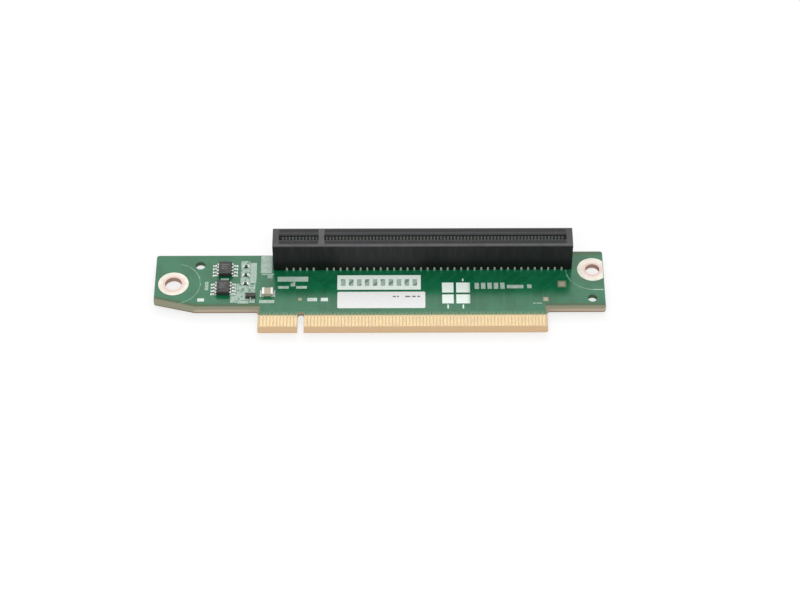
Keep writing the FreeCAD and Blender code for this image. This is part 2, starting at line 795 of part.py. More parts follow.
def make_chip(number):
    """An eight-lead chip: drafted body with its dimple, and gull-wing leads."""
    name = "chip_%d" % number
    x = moved(LEFT, name + "_inset")
    y = moved(TIP, name + "_height")
    parting = moved(FACE, "skin + chip_clearance + chip_body / 2")
    body = new_body(name + "_body")
    for half, reverse in (("upper", False), ("lower", True)):
        outline = new_sketch(body, "%s_%s" % (name, half), "XY_Plane", parting)
        add_rectangle(
            outline, moved(x, "0 - chip_width / 2"), moved(y, "0 - chip_length / 2"),
            moved(x, "chip_width / 2"), moved(y, "chip_length / 2"))
        make_pad(body, outline, sized("chip_body / 2"), reverse, "0 - " + sized("chip_draft"))
    top = moved(parting, "chip_body / 2")
    dimple = new_sketch(body, name + "_dimple", "XY_Plane", top)
    spot = (moved(x, "dimple_inset - chip_width / 2"), moved(y, "dimple_inset - chip_length / 2"))
    add_circle(dimple, spot, sized("dimple"))
    make_pocket(body, dimple, sized("dimple_depth"))

    leads = new_body(name + "_leads")
    foot = moved(FACE, "skin")
    half = sized("chip_lead_strip / 2")
    over = moved(foot, "chip_lead_strip")
    first = moved(y, "0 - 1.5 * chip_lead_pitch + chip_lead_width / 2")
    for side, sign in (("left", "-"), ("right", "+")):
        def at(distance, sign=sign):
            """A place across the chip, measured outwards from its middle."""
            return x + " " + sign + " " + sized(distance)

        knee = "chip_lead_span / 2 - chip_foot"
        lead = new_sketch(leads, "%s_lead_%s" % (name, side), "XZ_Plane", opposite(first))
        add_polygon(lead, (
            (at("chip_width / 2"), parting + " - " + half), (at(knee + " - chip_lead_strip"),
                                                             parting + " - " + half),
            (at(knee), foot), (at("chip_lead_span / 2"), foot),
            (at("chip_lead_span / 2"), over), (at(knee + " + chip_lead_strip"), over),
            (at(knee), parting + " + " + half), (at("chip_width / 2"), parting + " + " + half),
        ))
        strip = make_pad(leads, lead, sized("chip_lead_width"))
        repeat(leads, strip, "Y_Axis", sized("chip_lead_pitch"), "4")


def chip_lands(body):
    """The lands under the chips' feet."""
    for number in (1, 2):
        x = moved(LEFT, "chip_%d_inset" % number)
        y = moved(TIP, "chip_%d_height" % number)
        near = moved(y, "0 - 1.5 * chip_lead_pitch - chip_land_width / 2")
        far = moved(y, "0 - 1.5 * chip_lead_pitch + chip_land_width / 2")
        inner = sized("chip_lead_span / 2 - chip_foot - chip_land_in")
        outer = sized("chip_lead_span / 2 + chip_land_out")
        land = new_sketch(body, "chip_%d_land" % number, "XY_Plane", FACE)
        add_rectangle(land, x + " - " + outer, near, x + " - " + inner, far)
        add_rectangle(land, x + " + " + inner, near, x + " + " + outer, far)
        pad = make_pad(body, land, sized("skin"))
        repeat(body, pad, "Y_Axis", sized("chip_lead_pitch"), "4")


def two_ended(name, x, y, count, pitch):
    """Small two-ended parts in a column: bodies held between their end caps."""
    base = moved(FACE, "skin")
    for piece in ("body", "end_caps"):
        plural = "bodies" if piece == "body" and value(count) > 1 else piece
        part = new_body("%s_%s" % (name, plural))
        reach = sized(name + "_length / 2")
        inner = sized("%s_length / 2 - %s_band" % (name, name))
        half = sized(name + "_width / 2")
        level = base
        height = sized(name + "_rise")
        if piece == "body":
            half = sized(name + "_width / 2 - end_shrink")
            level = moved(base, "end_shrink")
            height = sized(name + "_rise - 2 * end_shrink")
        sketch = new_sketch(part, "%s_%s_outline" % (name, piece), "XY_Plane", level)
        near = y + " - " + half
        far = y + " + " + half
        if piece == "body":
            add_rectangle(sketch, x + " - " + inner, near, x + " + " + inner, far)
        else:
            add_rectangle(sketch, x + " - " + reach, near, x + " - " + inner, far)
            add_rectangle(sketch, x + " + " + inner, near, x + " + " + reach, far)
        block = make_pad(part, sketch, height)
        if value(count) > 1:
            row = repeat(part, block, "Y_Axis", pitch, count)
            row.Reversed = True


def two_ended_lands(body, name, x, y, count, pitch):
    """The pairs of lands under two-ended parts."""
    outer = sized("%s_length / 2 + %s_land" % (name, name))
    inner = sized("%s_length / 2 - %s_band" % (name, name))
    half = sized("%s_width / 2 + end_shrink" % name)
    land = new_sketch(body, name + "_land", "XY_Plane", FACE)
    add_rectangle(land, x + " - " + outer, y + " - " + half, x + " - " + inner, y + " + " + half)
    add_rectangle(land, x + " + " + inner, y + " - " + half, x + " + " + outer, y + " + " + half)
    pad = make_pad(body, land, sized("skin"))
    if value(count) > 1:
        row = repeat(body, pad, "Y_Axis", pitch, count)
        row.Reversed = True


def transistor_feet():
    """Places of the three feet: the sign towards each one's side and its offset."""
    pair = sized("transistor_lead_pitch / 2")
    return (("single", "-", "0"), ("left", "+", "0 - " + pair), ("right", "+", pair))


def make_transistor():
    """A small moulded part with one lead in front and two behind."""
    x = moved(LEFT, "transistor_inset")
    y = moved(TIP, "transistor_height")
    foot = moved(FACE, "skin")
    bottom = moved(foot, "transistor_clearance")
    body = new_body("transistor_body")
    outline = new_sketch(body, "transistor_outline", "XY_Plane", bottom)
    add_rectangle(
        outline, moved(x, "0 - transistor_length / 2"), moved(y, "0 - transistor_width / 2"),
        moved(x, "transistor_length / 2"), moved(y, "transistor_width / 2"))
    make_pad(body, outline, sized("transistor_rise"))

    leads = new_body("transistor_leads")
    exit_low = moved(bottom, "transistor_rise / 2 - transistor_strip / 2")
    exit_high = moved(exit_low, "transistor_strip")
    knee = "(transistor_width / 2 + transistor_lead_span / 2) / 2"
    reach = "transistor_lead_span / 2"
    for lead_name, sign, offset in transistor_feet():
        def at(distance, sign=sign):
            """A place outwards from the middle of the part."""
            return y + " " + sign + " " + sized(distance)

        level = x + " + " + offset + " - " + sized("transistor_lead_width / 2")
        lead = new_sketch(leads, "transistor_lead_" + lead_name, "YZ_Plane", level)
        add_polygon(lead, (
            (at("transistor_width / 2"), exit_low), (at(knee + " - transistor_strip"), exit_low),
            (at(knee + " - transistor_strip"), foot), (at(reach), foot),
            (at(reach), moved(foot, "transistor_strip")),
            (at(knee), moved(foot, "transistor_strip")),
            (at(knee), exit_high), (at("transistor_width / 2"), exit_high),
        ))
        make_pad(leads, lead, sized("transistor_lead_width"))


def transistor_lands(body):
    """The lands under the three feet."""
    x = moved(LEFT, "transistor_inset")
    y = moved(TIP, "transistor_height")
    half = sized("transistor_lead_width / 2 + end_shrink")
    land = new_sketch(body, "transistor_land", "XY_Plane", FACE)
    for _, sign, offset in transistor_feet():
        centre = x + " + " + offset
        inner = y + " " + sign + " " + sized("transistor_width / 2")
        outer = y + " " + sign + " " + sized("transistor_lead_span / 2 + transistor_land")
        add_rectangle(land, centre + " - " + half, inner, centre + " + " + half, outer)
    make_pad(body, land, sized("skin"))


def make_small_parts():
    """Chips, capacitor, resistors and transistor with the lands that they stand on."""
    make_chip(1)
    make_chip(2)
    capacitor = ("capacitor", moved(LEFT, "capacitor_inset"), moved(TIP, "capacitor_height"),
                 "1", "0")
    resistor = ("resistor", moved(LEFT, "resistor_inset"), moved(TIP, "resistor_height"),
                sized("resistor_count"), sized("resistor_pitch"))
    two_ended(*capacitor)
    two_ended(*resistor)
    make_transistor()
    lands = new_body("component_pads")
    chip_lands(lands)
    two_ended_lands(lands, *capacitor)
    two_ended_lands(lands, *resistor)
    transistor_lands(lands)


# ---------------------------------------------------------------- label, pads and print


def raise_mark(body, name, height):
    """Raise the rectangle whose four sizes carry a name, and return its feature."""
    sketch = new_sketch(body, name + "_outline", "XY_Plane", FACE)
    x = moved(LEFT, name + "_inset")
    y = moved(TIP, name + "_height")
    add_rectangle(sketch, x, y, moved(x, name + "_length"), moved(y, name + "_width"))
    return make_pad(body, sketch, height)


def make_flat_marks():
    """The paper label, the bare test pads and everything printed in white ink."""
    label = new_body("identity_label")
    paper = raise_mark(label, "label", sized("paper"))
    doc.recompute()
    x0 = moved(LEFT, "label_inset")
    y0 = moved(TIP, "label_height")
    x1 = moved(x0, "label_length")
    y1 = moved(y0, "label_width")
    corners = upright_edges(paper.Shape, ((x0, y0), (x1, y0), (x1, y1), (x0, y1)))
    dress_edges(label, "Fillet", paper, corners, "Radius", sized("label_corner"))

    pads = new_body("test_pads")
    for name in TEST_PADS:
        raise_mark(pads, name, sized("skin"))

    ink = new_body("silkscreen_marks")
    raise_mark(ink, "title", sized("skin"))
    block = new_sketch(ink, "title_block_outline", "XY_Plane", moved(FACE, "skin"))
    left = moved(LEFT, "title_inset + title_margin")
    near = moved(TIP, "title_height + (title_width - title_block_width) / 2")
    add_rectangle(block, left, near, moved(left, "title_block"), moved(near, "title_block_width"))
    gap = make_pocket(ink, block, sized("2 * skin"))
    room = "title_length - 2 * title_margin - title_block"
    repeat(ink, gap, "X_Axis", sized("(%s) / (title_blocks - 1)" % room), sized("title_blocks"))

    squares = new_sketch(ink, "squares", "XY_Plane", FACE)
    columns = (
        (moved(LEFT, "squares_inset"), "square_left"),
        (moved(LEFT, "squares_inset + square_left + square_gap"), "square_right"),
    )
    rows = (
        (moved(TIP, "squares_height"), "square_lower"),
        (moved(TIP, "squares_height + square_lower + square_gap"), "square_upper"),
    )
    for x, length in columns:
        for y, width in rows:
            add_rectangle(squares, x, y, moved(x, length), moved(y, width))
    make_pad(ink, squares, sized("skin"))

    for name in BARS:
        raise_mark(ink, name, sized("skin"))
    make_arcs()


def make_arcs():
    """The keep-out arcs printed round the mounting holes."""
    body = new_body("silkscreen_arcs")
    outer = sized("2 * arc_radius + line_width")
    inner = sized("2 * arc_radius - line_width")
    reach = sized("2 * arc_radius")
    rings = new_sketch(body, "arc_rings", "XY_Plane", FACE)
    for centre in (LEFT_HOLE, RIGHT_HOLE):
        add_circle(rings, centre, outer)
        add_circle(rings, centre, inner)
    make_pad(body, rings, sized("skin"))
    trims = new_sketch(body, "arc_trims", "XY_Plane", moved(FACE, "skin"))
    x, y = LEFT_HOLE
    far_left = x + " - " + reach
    add_rectangle(trims, far_left, y + " - " + reach, moved(x, "arc_start"), y + " + " + reach)
    x, y = RIGHT_HOLE
    far_left = x + " - " + reach
    far_right = x + " + " + reach
    top = y + " + " + reach
    bottom = y + " - " + reach
    add_polygon(trims, (
        (far_left, y), (x, y), (x, bottom), (far_right, bottom), (far_right, top),
        (far_left, top),
    ))
    make_pocket(body, trims, sized("2 * skin"))


# ---------------------------------------------------------------- build and write

make_board()
make_fingers()
make_rings("left", LEFT_HOLE, "left_bore")
make_rings("right", RIGHT_HOLE, "right_bore")
make_housing()
make_contacts()
make_joints()
make_small_parts()
make_flat_marks()
doc.recompute()

for item in doc.Objects:
    faults = [state for state in item.State if state in ("Invalid", "Error")]
    if faults:
        raise RuntimeError("%s is %s" % (item.Name, faults[0]))
for part in PARTS:
    if part.Shape.isNull() or not part.Shape.isValid():
        raise RuntimeError("%s has no valid shape" % part.Label)
    part.Placement = FreeCAD.Placement()

os.makedirs("parts", exist_ok=True)
for part in PARTS:
    part.Shape.exportStep(os.path.join("parts", part.Label + ".step"))
    print("%-28s %4d solids %10.3f mm3" % (part.Label, len(part.Shape.Solids), part.Shape.Volume))
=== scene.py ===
"""Finishes, solder, copper and studio for a riser card with one card slot.

Run as a script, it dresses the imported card: every node gets its material, and the pieces
that are too fine for the solid model are added round it. All lengths are in metres.
X runs along the board, Y from the tongue's tip to the far edge, and Z out of the face.
"""

import json
import math

import bmesh
import bpy
from bpy.props import FloatProperty, FloatVectorProperty, IntProperty, PointerProperty
from mathutils import Matrix, Vector


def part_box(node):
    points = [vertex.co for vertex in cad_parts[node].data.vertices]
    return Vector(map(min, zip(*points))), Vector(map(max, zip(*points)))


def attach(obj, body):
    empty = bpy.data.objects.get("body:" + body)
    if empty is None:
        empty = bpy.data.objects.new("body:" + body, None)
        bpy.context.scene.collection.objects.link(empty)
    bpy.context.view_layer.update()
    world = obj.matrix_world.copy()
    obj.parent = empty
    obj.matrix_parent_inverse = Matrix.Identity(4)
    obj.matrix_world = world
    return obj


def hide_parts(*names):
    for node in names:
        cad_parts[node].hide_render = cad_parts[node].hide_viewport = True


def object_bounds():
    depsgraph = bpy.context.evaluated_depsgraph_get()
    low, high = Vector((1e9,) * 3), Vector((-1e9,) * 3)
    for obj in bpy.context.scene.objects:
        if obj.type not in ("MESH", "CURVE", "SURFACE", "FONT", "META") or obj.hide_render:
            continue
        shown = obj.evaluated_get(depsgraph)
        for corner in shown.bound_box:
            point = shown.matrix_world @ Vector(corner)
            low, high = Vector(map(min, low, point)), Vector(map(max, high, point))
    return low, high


bl_info = {
    "name": "Riser card finish",
    "version": (1, 0, 0),
    "blender": (4, 5, 0),
    "location": "3D View > Sidebar > Riser card",
    "description": "Finishes, solder, copper and studio for a riser card with one card slot",
    "category": "Object",
}

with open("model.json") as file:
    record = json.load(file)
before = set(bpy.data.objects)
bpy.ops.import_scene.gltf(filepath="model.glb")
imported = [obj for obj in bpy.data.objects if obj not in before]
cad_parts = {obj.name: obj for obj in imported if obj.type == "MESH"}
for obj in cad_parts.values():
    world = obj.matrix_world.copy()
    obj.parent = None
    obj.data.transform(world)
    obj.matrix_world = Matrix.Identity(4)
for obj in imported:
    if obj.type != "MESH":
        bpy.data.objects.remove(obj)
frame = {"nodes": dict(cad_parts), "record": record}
CAD_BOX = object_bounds()

MM = 0.001
BOARD_LOW, BOARD_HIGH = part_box("circuit_board")
SLOT_LOW, SLOT_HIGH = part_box("slot_housing")
FINGERS_LOW, FINGERS_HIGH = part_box("edge_fingers_top")
LABEL_LOW, LABEL_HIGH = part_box("identity_label")
FACE = BOARD_HIGH.z
BACK = BOARD_LOW.z
MID_BOARD = (FACE + BACK) / 2

# Round profiles: radius and height as shares of the piece's own. SUNK is how far traces and
# vias reach into the board, as a share of their rise.
JOINT_PROFILE = ((1, 0), (0.95, -0.08), (0.72, -0.24), (0.56, -0.5), (0.50, -0.86), (0.36, -1))
SUNK = -0.4
VIA_PROFILE = ((1, SUNK), (1, 1), (0.62, 1.3), (0.42, 0.2))

# Solder wedges: the thin end's height as a share of the thick end's, the length of a cap's
# fillet as a share of its height, and the height of a transistor's as a share of a chip's.
WEDGE = 0.2
CAP_FILLET_RUN = 0.7
SMALL_FILLET = 0.8

# Plain bars that stand for small print: lengths in each row of a chip's marking, start and
# length on the label, and height on the label, all as shares of the room they have.
CHIP_ROWS = ((0.45, 0.3), (0.7,), (0.35, 0.2))
LABEL_BARS = ((0.63, 0.035), (0.68, 0.02), (0.77, 0.06), (0.85, 0.04), (0.91, 0.03))
LABEL_BAR_PLACE = 0.66

# Low and high corners of the thin print, and the pointer's middle, in millimetres.
THIN_FIELDS = (
    ((-44.2, -4.6), (-36.9, 2.9)), ((-41.4, 3.0), (-38.7, 12.0)), ((-51.9, 0.4), (-50.9, 3.7)),
    ((-26.5, 1.8), (-25.1, 3.6)), ((-33.4, 5.0), (-31.9, 6.2)), ((45.4, -5.3), (47.9, -4.9)),
)
POINTER_SPOT = (-52.6, 6.7)


# ---------------------------------------------------------------- settings


def length(name, description, millimetres):
    """A property for a length, given in millimetres and kept in metres."""
    return FloatProperty(
        name=name, description=description, default=millimetres * MM, min=0.0,
        precision=5, unit="LENGTH")


def tint(name, description, colour):
    """A property for a colour."""
    return FloatVectorProperty(
        name=name, description=description, default=colour, size=3, min=0.0, max=1.0,
        subtype="COLOR")


def count(name, description, number):
    """A property for a number of like things."""
    return IntProperty(name=name, description=description, default=number, min=2)


def angle(name, description, degrees):
    """A property for an angle, given in degrees."""
    return FloatProperty(
        name=name, description=description, default=math.radians(degrees), subtype="ANGLE",
        unit="ROTATION")


def amount(name, description, number, **limits):
    """A property for a plain number."""
    return FloatProperty(name=name, description=description, default=number, **limits)


class RiserCardSizes(bpy.types.PropertyGroup):
    """Sizes of the outline that finishes follow, and of the pieces added to the card."""

    shoulder_height: length("Shoulder", "From the tongue's tip to the wings' lower edge", 8.25)
    taper_run: length("Taper run", "Length of the slanted edge at the left end", 12.2)
    taper_rise: length("Taper rise", "Rise of the slanted edge at the left end", 3.2)
    bare_margin: length("Bare margin", "Pale band along the wings' lower edges", 1.3)
    gap_reach: length("Copper gap", "Mask without copper above the wings' lower edges", 2.6)
    far_margin: length("Far margin", "Band without copper along the far edge", 1.9)
    finger_margin: length("Finger margin", "Laminate left bare above the fingers", 0.3)
    key_inset: length("Key inset", "From the slot's left end to the middle of its key bar", 14.5)
    trace_width: length("Trace width", "Width of a signal trace", 0.2)
    trace_rise: length("Trace rise", "Height of a trace under the mask", 0.025)
    trace_start: length("Trace start", "Straight run above a finger", 0.5)
    trace_bend: length("Trace bend", "From the slot to where the traces start to slant", 7.4)
    trace_end: length("Trace end", "Run from a pair's end to the middle of its pads", 0.8)
    pair_pitch: length("Pair pitch", "Distance between the two traces of a pair", 0.5)
    via_radius: length("Via radius", "Outer radius of a via's ring", 0.32)
    via_reach: length("Via reach", "From a finger to its via", 1.1)
    via_stagger: length("Via stagger", "Step between near and far vias", 0.8)
    via_sides: count("Via sides", "Sides of a via's ring", 12)
    joint_radius: length("Joint radius", "Radius of a solder joint at the board", 0.64)
    joint_height: length("Joint height", "Height of a solder joint on its tail", 0.66)
    joint_sides: count("Joint sides", "Sides of a solder joint", 14)
    fillet_rise: length("Fillet rise", "Height of a solder fillet against a foot", 0.22)
    toe_reach: length("Toe reach", "Length of the solder in front of a chip's foot", 0.45)
    toe_margin: length("Toe margin", "Solder showing beside a chip's foot", 0.1)
    toe_bevel: length("Toe bevel", "Rounding of the solder at a chip's foot", 0.05)
    bead_reach: length("Bead reach", "Length of the solder at a transistor's foot", 0.25)
    bead_margin: length("Bead margin", "Solder showing beside a small part's foot", 0.04)
    bead_lap: length("Bead lap", "How far the solder of a small part goes under it", 0.05)
    bead_inset: length("Bead inset", "How far a cap is wider than its solder", 0.03)
    mark_inset: length("Marking inset", "From a chip's left side to its marking", 0.9)
    mark_drop: length("Marking drop", "From a chip's upper side to its first row", 1.5)
    mark_pitch: length("Marking pitch", "Distance between rows of a chip's marking", 0.8)
    mark_room: length("Marking room", "Full length of a row of a chip's marking", 2.4)
    mark_gap: length("Marking gap", "Gap between the bars of a row", 0.25)
    mark_height: length("Marking height", "Height of a bar on a chip", 0.38)
    label_bar: length("Label bar", "Height of a bar on the label", 0.55)
    print_rise: length("Print rise", "Thickness of the ink on the label and the chips", 0.008)
    haze_rise: length("Thin print", "Thickness of the thin worn print beside the chips", 0.015)
    print_room: length("Print room", "Gap between the thin print and what stands in it", 0.15)
    pointer_radius: length("Pointer", "Radius of the printed pointer", 1.35)
    pointer_line: length("Pointer line", "Width of the pointer's line", 0.3)
    title_margin: length("Title margin", "Ink left of the title box's first opening", 1.1)
    title_opening: length("Title opening", "Length of an opening in the title box", 1.35)
    title_height: length("Title opening height", "Height of an opening in the title box", 2.7)
    title_openings: count("Title openings", "Number of openings in the title box", 10)


class RiserCardColours(bpy.types.PropertyGroup):
    """Colours of the card's finishes."""

    mask: tint("Mask", "Solder mask over bare laminate", (0.003, 0.122, 0.046))
    mask_copper: tint("Mask on copper", "Solder mask over copper", (0.006, 0.150, 0.060))
    mask_edge: tint("Mask edge", "Mask off the copper, along the edges", (0.022, 0.085, 0.018))
    margin: tint("Margin", "Thin mask along the wings' lower edges", (0.22, 0.21, 0.13))
    finger_side: tint("Finger side", "Thin mask just above the fingers", (0.17, 0.25, 0.12))
    laminate: tint("Laminate", "Bare glass laminate of the tongue", (0.70, 0.54, 0.34))
    tip: tint("Tip", "Ground slope of the tongue's tip", (0.58, 0.40, 0.23))
    sawn: tint("Sawn side", "Sawn side of the laminate", (0.42, 0.35, 0.26))
    sawn_slant: tint("Sawn slant", "Sawn side of the slanted corner", (0.25, 0.27, 0.18))
    # Painted shadow: the dark line painted low on the sawn side, under the board's edge.
    sawn_shadow: tint("Sawn lower edge", "Darker line low on the sawn side", (0.22, 0.12, 0.08))
    barrel: tint("Plated wall", "Plated wall of the mounting holes", (0.42, 0.27, 0.22))
    bare_wall: tint("Bare wall", "Drilled wall of the tooling holes", (0.08, 0.13, 0.07))
    gold: tint("Gold", "Plating of the fingers", (0.70, 0.54, 0.31))
    gold_worn: tint("Worn gold", "Plating where it is rubbed or thin", (0.62, 0.49, 0.31))
    nickel: tint("Contact metal", "Dull plating of the slot's contacts", (0.64, 0.70, 0.64))
    ring: tint("Ring", "Flat rings round the mounting holes", (0.80, 0.76, 0.67))
    # Pinker colour of the rings towards the bore.
    ring_by_bore: tint("Worn ring", "Rings where screws have rubbed, by the hole", (0.72, 0.52, 0.46))
    tin: tint("Tin", "Solder and tinned metal", (0.62, 0.66, 0.62))
    tin_dull: tint("Dull tin", "Solder where it has gone grey", (0.46, 0.49, 0.46))
    pad_dull: tint("Dull pad", "Tarnished rim of the middle and right pads", (0.15, 0.20, 0.10))
    pad_worn: tint("Worn pad", "Middle of the tarnished pads", (0.44, 0.43, 0.32))
    slot: tint("Slot", "Moulded plastic of the card slot", (0.009, 0.009, 0.010))
    slot_pale: tint("Slot bloom", "Paler flow marks in the slot's plastic", (0.019, 0.019, 0.022))
    # Painted highlight: the paler colour painted on the slot's top edges, lips and key bar, and on
    # the groove's walls under the lip.
    slot_highlight: tint("Slot rub", "Slot's edges and lips, rubbed paler", (0.095, 0.095, 0.10))
    chip: tint("Chip", "Moulded body of the chips", (0.022, 0.022, 0.021))
    chip_mark: tint("Chip mark", "Marking on the chips", (0.22, 0.22, 0.21))
    ceramic: tint("Ceramic", "Body of the capacitor", (0.50, 0.42, 0.31))
    coating: tint("Coating", "Dark coat of the resistors", (0.016, 0.016, 0.018))
    paper: tint("Paper", "Label", (0.89, 0.90, 0.89))
    ink: tint("Ink", "White print", (0.90, 1.00, 0.94))
    ink_thin: tint("Thin ink", "Print where it is thin and grey", (0.34, 0.46, 0.385))
    ink_faint: tint("Faint ink", "Thin lines round the mounting holes", (0.10, 0.27, 0.17))
    label_ink: tint("Label ink", "Dark print on the label", (0.12, 0.12, 0.13))
    floor: tint("Floor", "Studio floor", (0.95, 0.95, 0.95))
    floor_shade: tint("Floor in view", "Share of light on the seen floor", (0.3, 0.3, 0.3))


class RiserCardStudio(bpy.types.PropertyGroup):
    """Camera and light."""

    elevation: angle("Elevation", "Camera's height over the board's plane", 48.447)
    azimuth: angle("Azimuth", "Camera's turn round the card, from straight in front", -0.619)
    roll: angle("Roll", "Camera's turn about its line of sight", 0.299)
    distance: length("Distance", "Camera to the middle of the view", 755.1)
    target: FloatVectorProperty(
        name="Target", description="Middle of the view", default=(0.0112, 0.0005, 0.0033),
        size=3, precision=5, subtype="TRANSLATION", unit="LENGTH")
    lens: amount("Lens", "Focal length in millimetres", 114.55, min=1.0)
    shift_x: amount("Shift X", "Sideways shift", -0.0218)
    shift_y: amount("Shift Y", "Upward shift", -0.01455)
    softbox_power: amount("Softbox", "Watts of the soft lamp behind the card", 1.15, min=0.0)
    softbox_elevation: angle("Softbox elevation", "Height of the lamp behind the card", 46.0)
    softbox_distance: length("Softbox distance", "Soft lamps to the card", 800.0)
    softbox_width: length("Softbox width", "Length of a soft lamp", 500.0)
    softbox_height: length("Softbox height", "Height of a soft lamp", 300.0)
    world_level: amount("Surround", "Strength of the plain surround", 0.74, min=0.0)
    front_power: amount("Front lamp", "Watts of the wide weak lamp in front", 1.9, min=0.0)
    floor_reach: length("Floor", "From the middle of the floor to its sides", 3000.0)
    floor_glow: amount(
        "Floor glow", "Brightness of the seen floor in full shade", 0.70, min=0.0, max=1.0)


# ---------------------------------------------------------------- materials


class Field:
    """A number that varies over a surface, kept as a socket that can be reckoned with."""

    def __init__(self, tree, socket):
        self.tree = tree
        self.socket = socket

    def reckon(self, operation, *others):
        """Join this number and others with one Math node."""
        node = self.tree.nodes.new("ShaderNodeMath")
        node.operation = operation
        for entry, item in zip(node.inputs, (self, *others)):
            if isinstance(item, Field):
                self.tree.links.new(item.socket, entry)
            else:
                entry.default_value = item
        return Field(self.tree, node.outputs[0])

    def __add__(self, other):
        return self.reckon("ADD", other)

    def __sub__(self, other):
        return self.reckon("SUBTRACT", other)

    def __mul__(self, other):
        return self.reckon("MULTIPLY", other)

    def most(self, other):
        """The larger of two numbers."""
        return self.reckon("MAXIMUM", other)

    def size(self):
        """The number without its sign."""
        return self.reckon("ABSOLUTE")

    def ramp(self, start, end):
        """Go smoothly from 0 at start to 1 at end."""
        node = self.tree.nodes.new("ShaderNodeMapRange")
        node.interpolation_type = "SMOOTHSTEP"
        self.tree.links.new(self.socket, node.inputs["Value"])
        node.inputs["From Min"].default_value = start
        node.inputs["From Max"].default_value = end
        return Field(self.tree, node.outputs["Result"])

    def spread(self, low, high):
        """Stretch 0 to 1 over another range."""
        node = self.tree.nodes.new("ShaderNodeMapRange")
        self.tree.links.new(self.socket, node.inputs["Value"])
        node.inputs["To Min"].default_value = low
        node.inputs["To Max"].default_value = high
        return Field(self.tree, node.outputs["Result"])


class Finish:
    """One material while it is made; its methods add nodes and hand back their results."""

    def __init__(self, name, colour, roughness, metallic=0.0, specular=0.5):
        self.material = bpy.data.materials.new(name)
        self.material.use_nodes = True
        self.tree = self.material.node_tree
        self.shader = self.tree.nodes["Principled BSDF"]
        self.shader.inputs["Base Color"].default_value = (*colour, 1)
        self.shader.inputs["Roughness"].default_value = roughness
        self.shader.inputs["Metallic"].default_value = metallic
        self.shader.inputs["Specular IOR Level"].default_value = specular
        coordinates = self.tree.nodes.new("ShaderNodeTexCoord")
        self.place = coordinates.outputs["Object"]
        parts = self.tree.nodes.new("ShaderNodeSeparateXYZ")
        self.tree.links.new(self.place, parts.inputs[0])
        self.x, self.y, self.z = [Field(self.tree, part) for part in parts.outputs]

    def noise(self, grain, stretch=(1, 1, 1), detail=2.0):
        """Noise from about 0.3 to 0.7 with grains of a given length, stretched by axis."""
        mapping = self.tree.nodes.new("ShaderNodeMapping")
        mapping.inputs["Scale"].default_value = [1 / (grain * longer) for longer in stretch]
        self.tree.links.new(self.place, mapping.inputs["Vector"])
        node = self.tree.nodes.new("ShaderNodeTexNoise")
        node.inputs["Scale"].default_value = 1.0
        node.inputs["Detail"].default_value = detail
        self.tree.links.new(mapping.outputs["Vector"], node.inputs["Vector"])
        return Field(self.tree, node.outputs["Fac"])

    def away_from(self, centre):
        """The distance from an upright line through a place on the board."""
        away_x = self.x - centre.x
        away_y = self.y - centre.y
        return (away_x * away_x + away_y * away_y).reckon("SQRT")

    def weave(self, pitch):
        """Crossed threads of glass cloth, from 0 to 1."""
        turns = 2 * math.pi / pitch
        warp = (self.x * turns).reckon("SINE")
        weft = (self.y * turns).reckon("SINE")
        return (warp * weft).spread(0.5, 1.0)

    def blend(self, factor, first, second):
        """A colour that goes from first to second as factor goes from 0 to 1."""
        node = self.tree.nodes.new("ShaderNodeMix")
        node.data_type = "RGBA"
        sockets = [socket for socket in node.inputs if socket.type == "RGBA"]
        self.tree.links.new(factor.socket, node.inputs["Factor"])
        for entry, colour in zip(sockets, (first, second)):
            if isinstance(colour, bpy.types.NodeSocket):
                self.tree.links.new(colour, entry)
            else:
                entry.default_value = (*colour, 1)
        return [socket for socket in node.outputs if socket.type == "RGBA"][0]

    def use(self, socket_name, source):
        """Lead a varying colour or number to the shader."""
        output = source.socket if isinstance(source, Field) else source
        self.tree.links.new(output, self.shader.inputs[socket_name])

    def emboss(self, height, depth):
        """Raise the surface by a varying height of 0 to 1 times depth."""
        node = self.tree.nodes.new("ShaderNodeBump")
        node.inputs["Strength"].default_value = 1.0
        node.inputs["Distance"].default_value = depth
        self.tree.links.new(height.socket, node.inputs["Height"])
        self.tree.links.new(node.outputs["Normal"], self.shader.inputs["Normal"])

    def coat(self, tone, pattern, roughness, depth):
        """Give the shader a colour, and a pattern for its roughness and its relief."""
        self.use("Base Color", tone)
        self.use("Roughness", pattern.spread(*roughness))
        self.emboss(pattern, depth)
        return self.material


def shade(colour, share):
    """A colour made darker or paler by a share."""
    return [tone * share for tone in colour]


def settings():
    """The sizes, colours and studio values of this scene."""
    return [getattr(bpy.context.scene, name) for name in GROUPS]


def round_holes():
    """The axis and radius of each round hole in the board, and whether it is plated."""
    mounts = frame["record"]["mounts"]
    return [
        (Vector(mount["pos_m"][:2]), mount["dims"]["r_mm"] * MM,
         mount["name"].endswith("mounting_hole"))
        for mount in mounts if mount["name"].endswith("_hole")]


def wing_edges(finish, sizes):
    """How far a place is above the wings' lower edges, and how far out from the tongue."""
    slope = sizes.taper_rise / sizes.taper_run
    slant = (finish.x * -1 + BOARD_LOW.x + sizes.taper_run) * slope
    above_edge = finish.y - slant.most(0.0) - (BOARD_LOW.y + sizes.shoulder_height)
    off_tongue = (finish.x * -1 + FINGERS_LOW.x).most(finish.x - FINGERS_HIGH.x)
    return above_edge, off_tongue


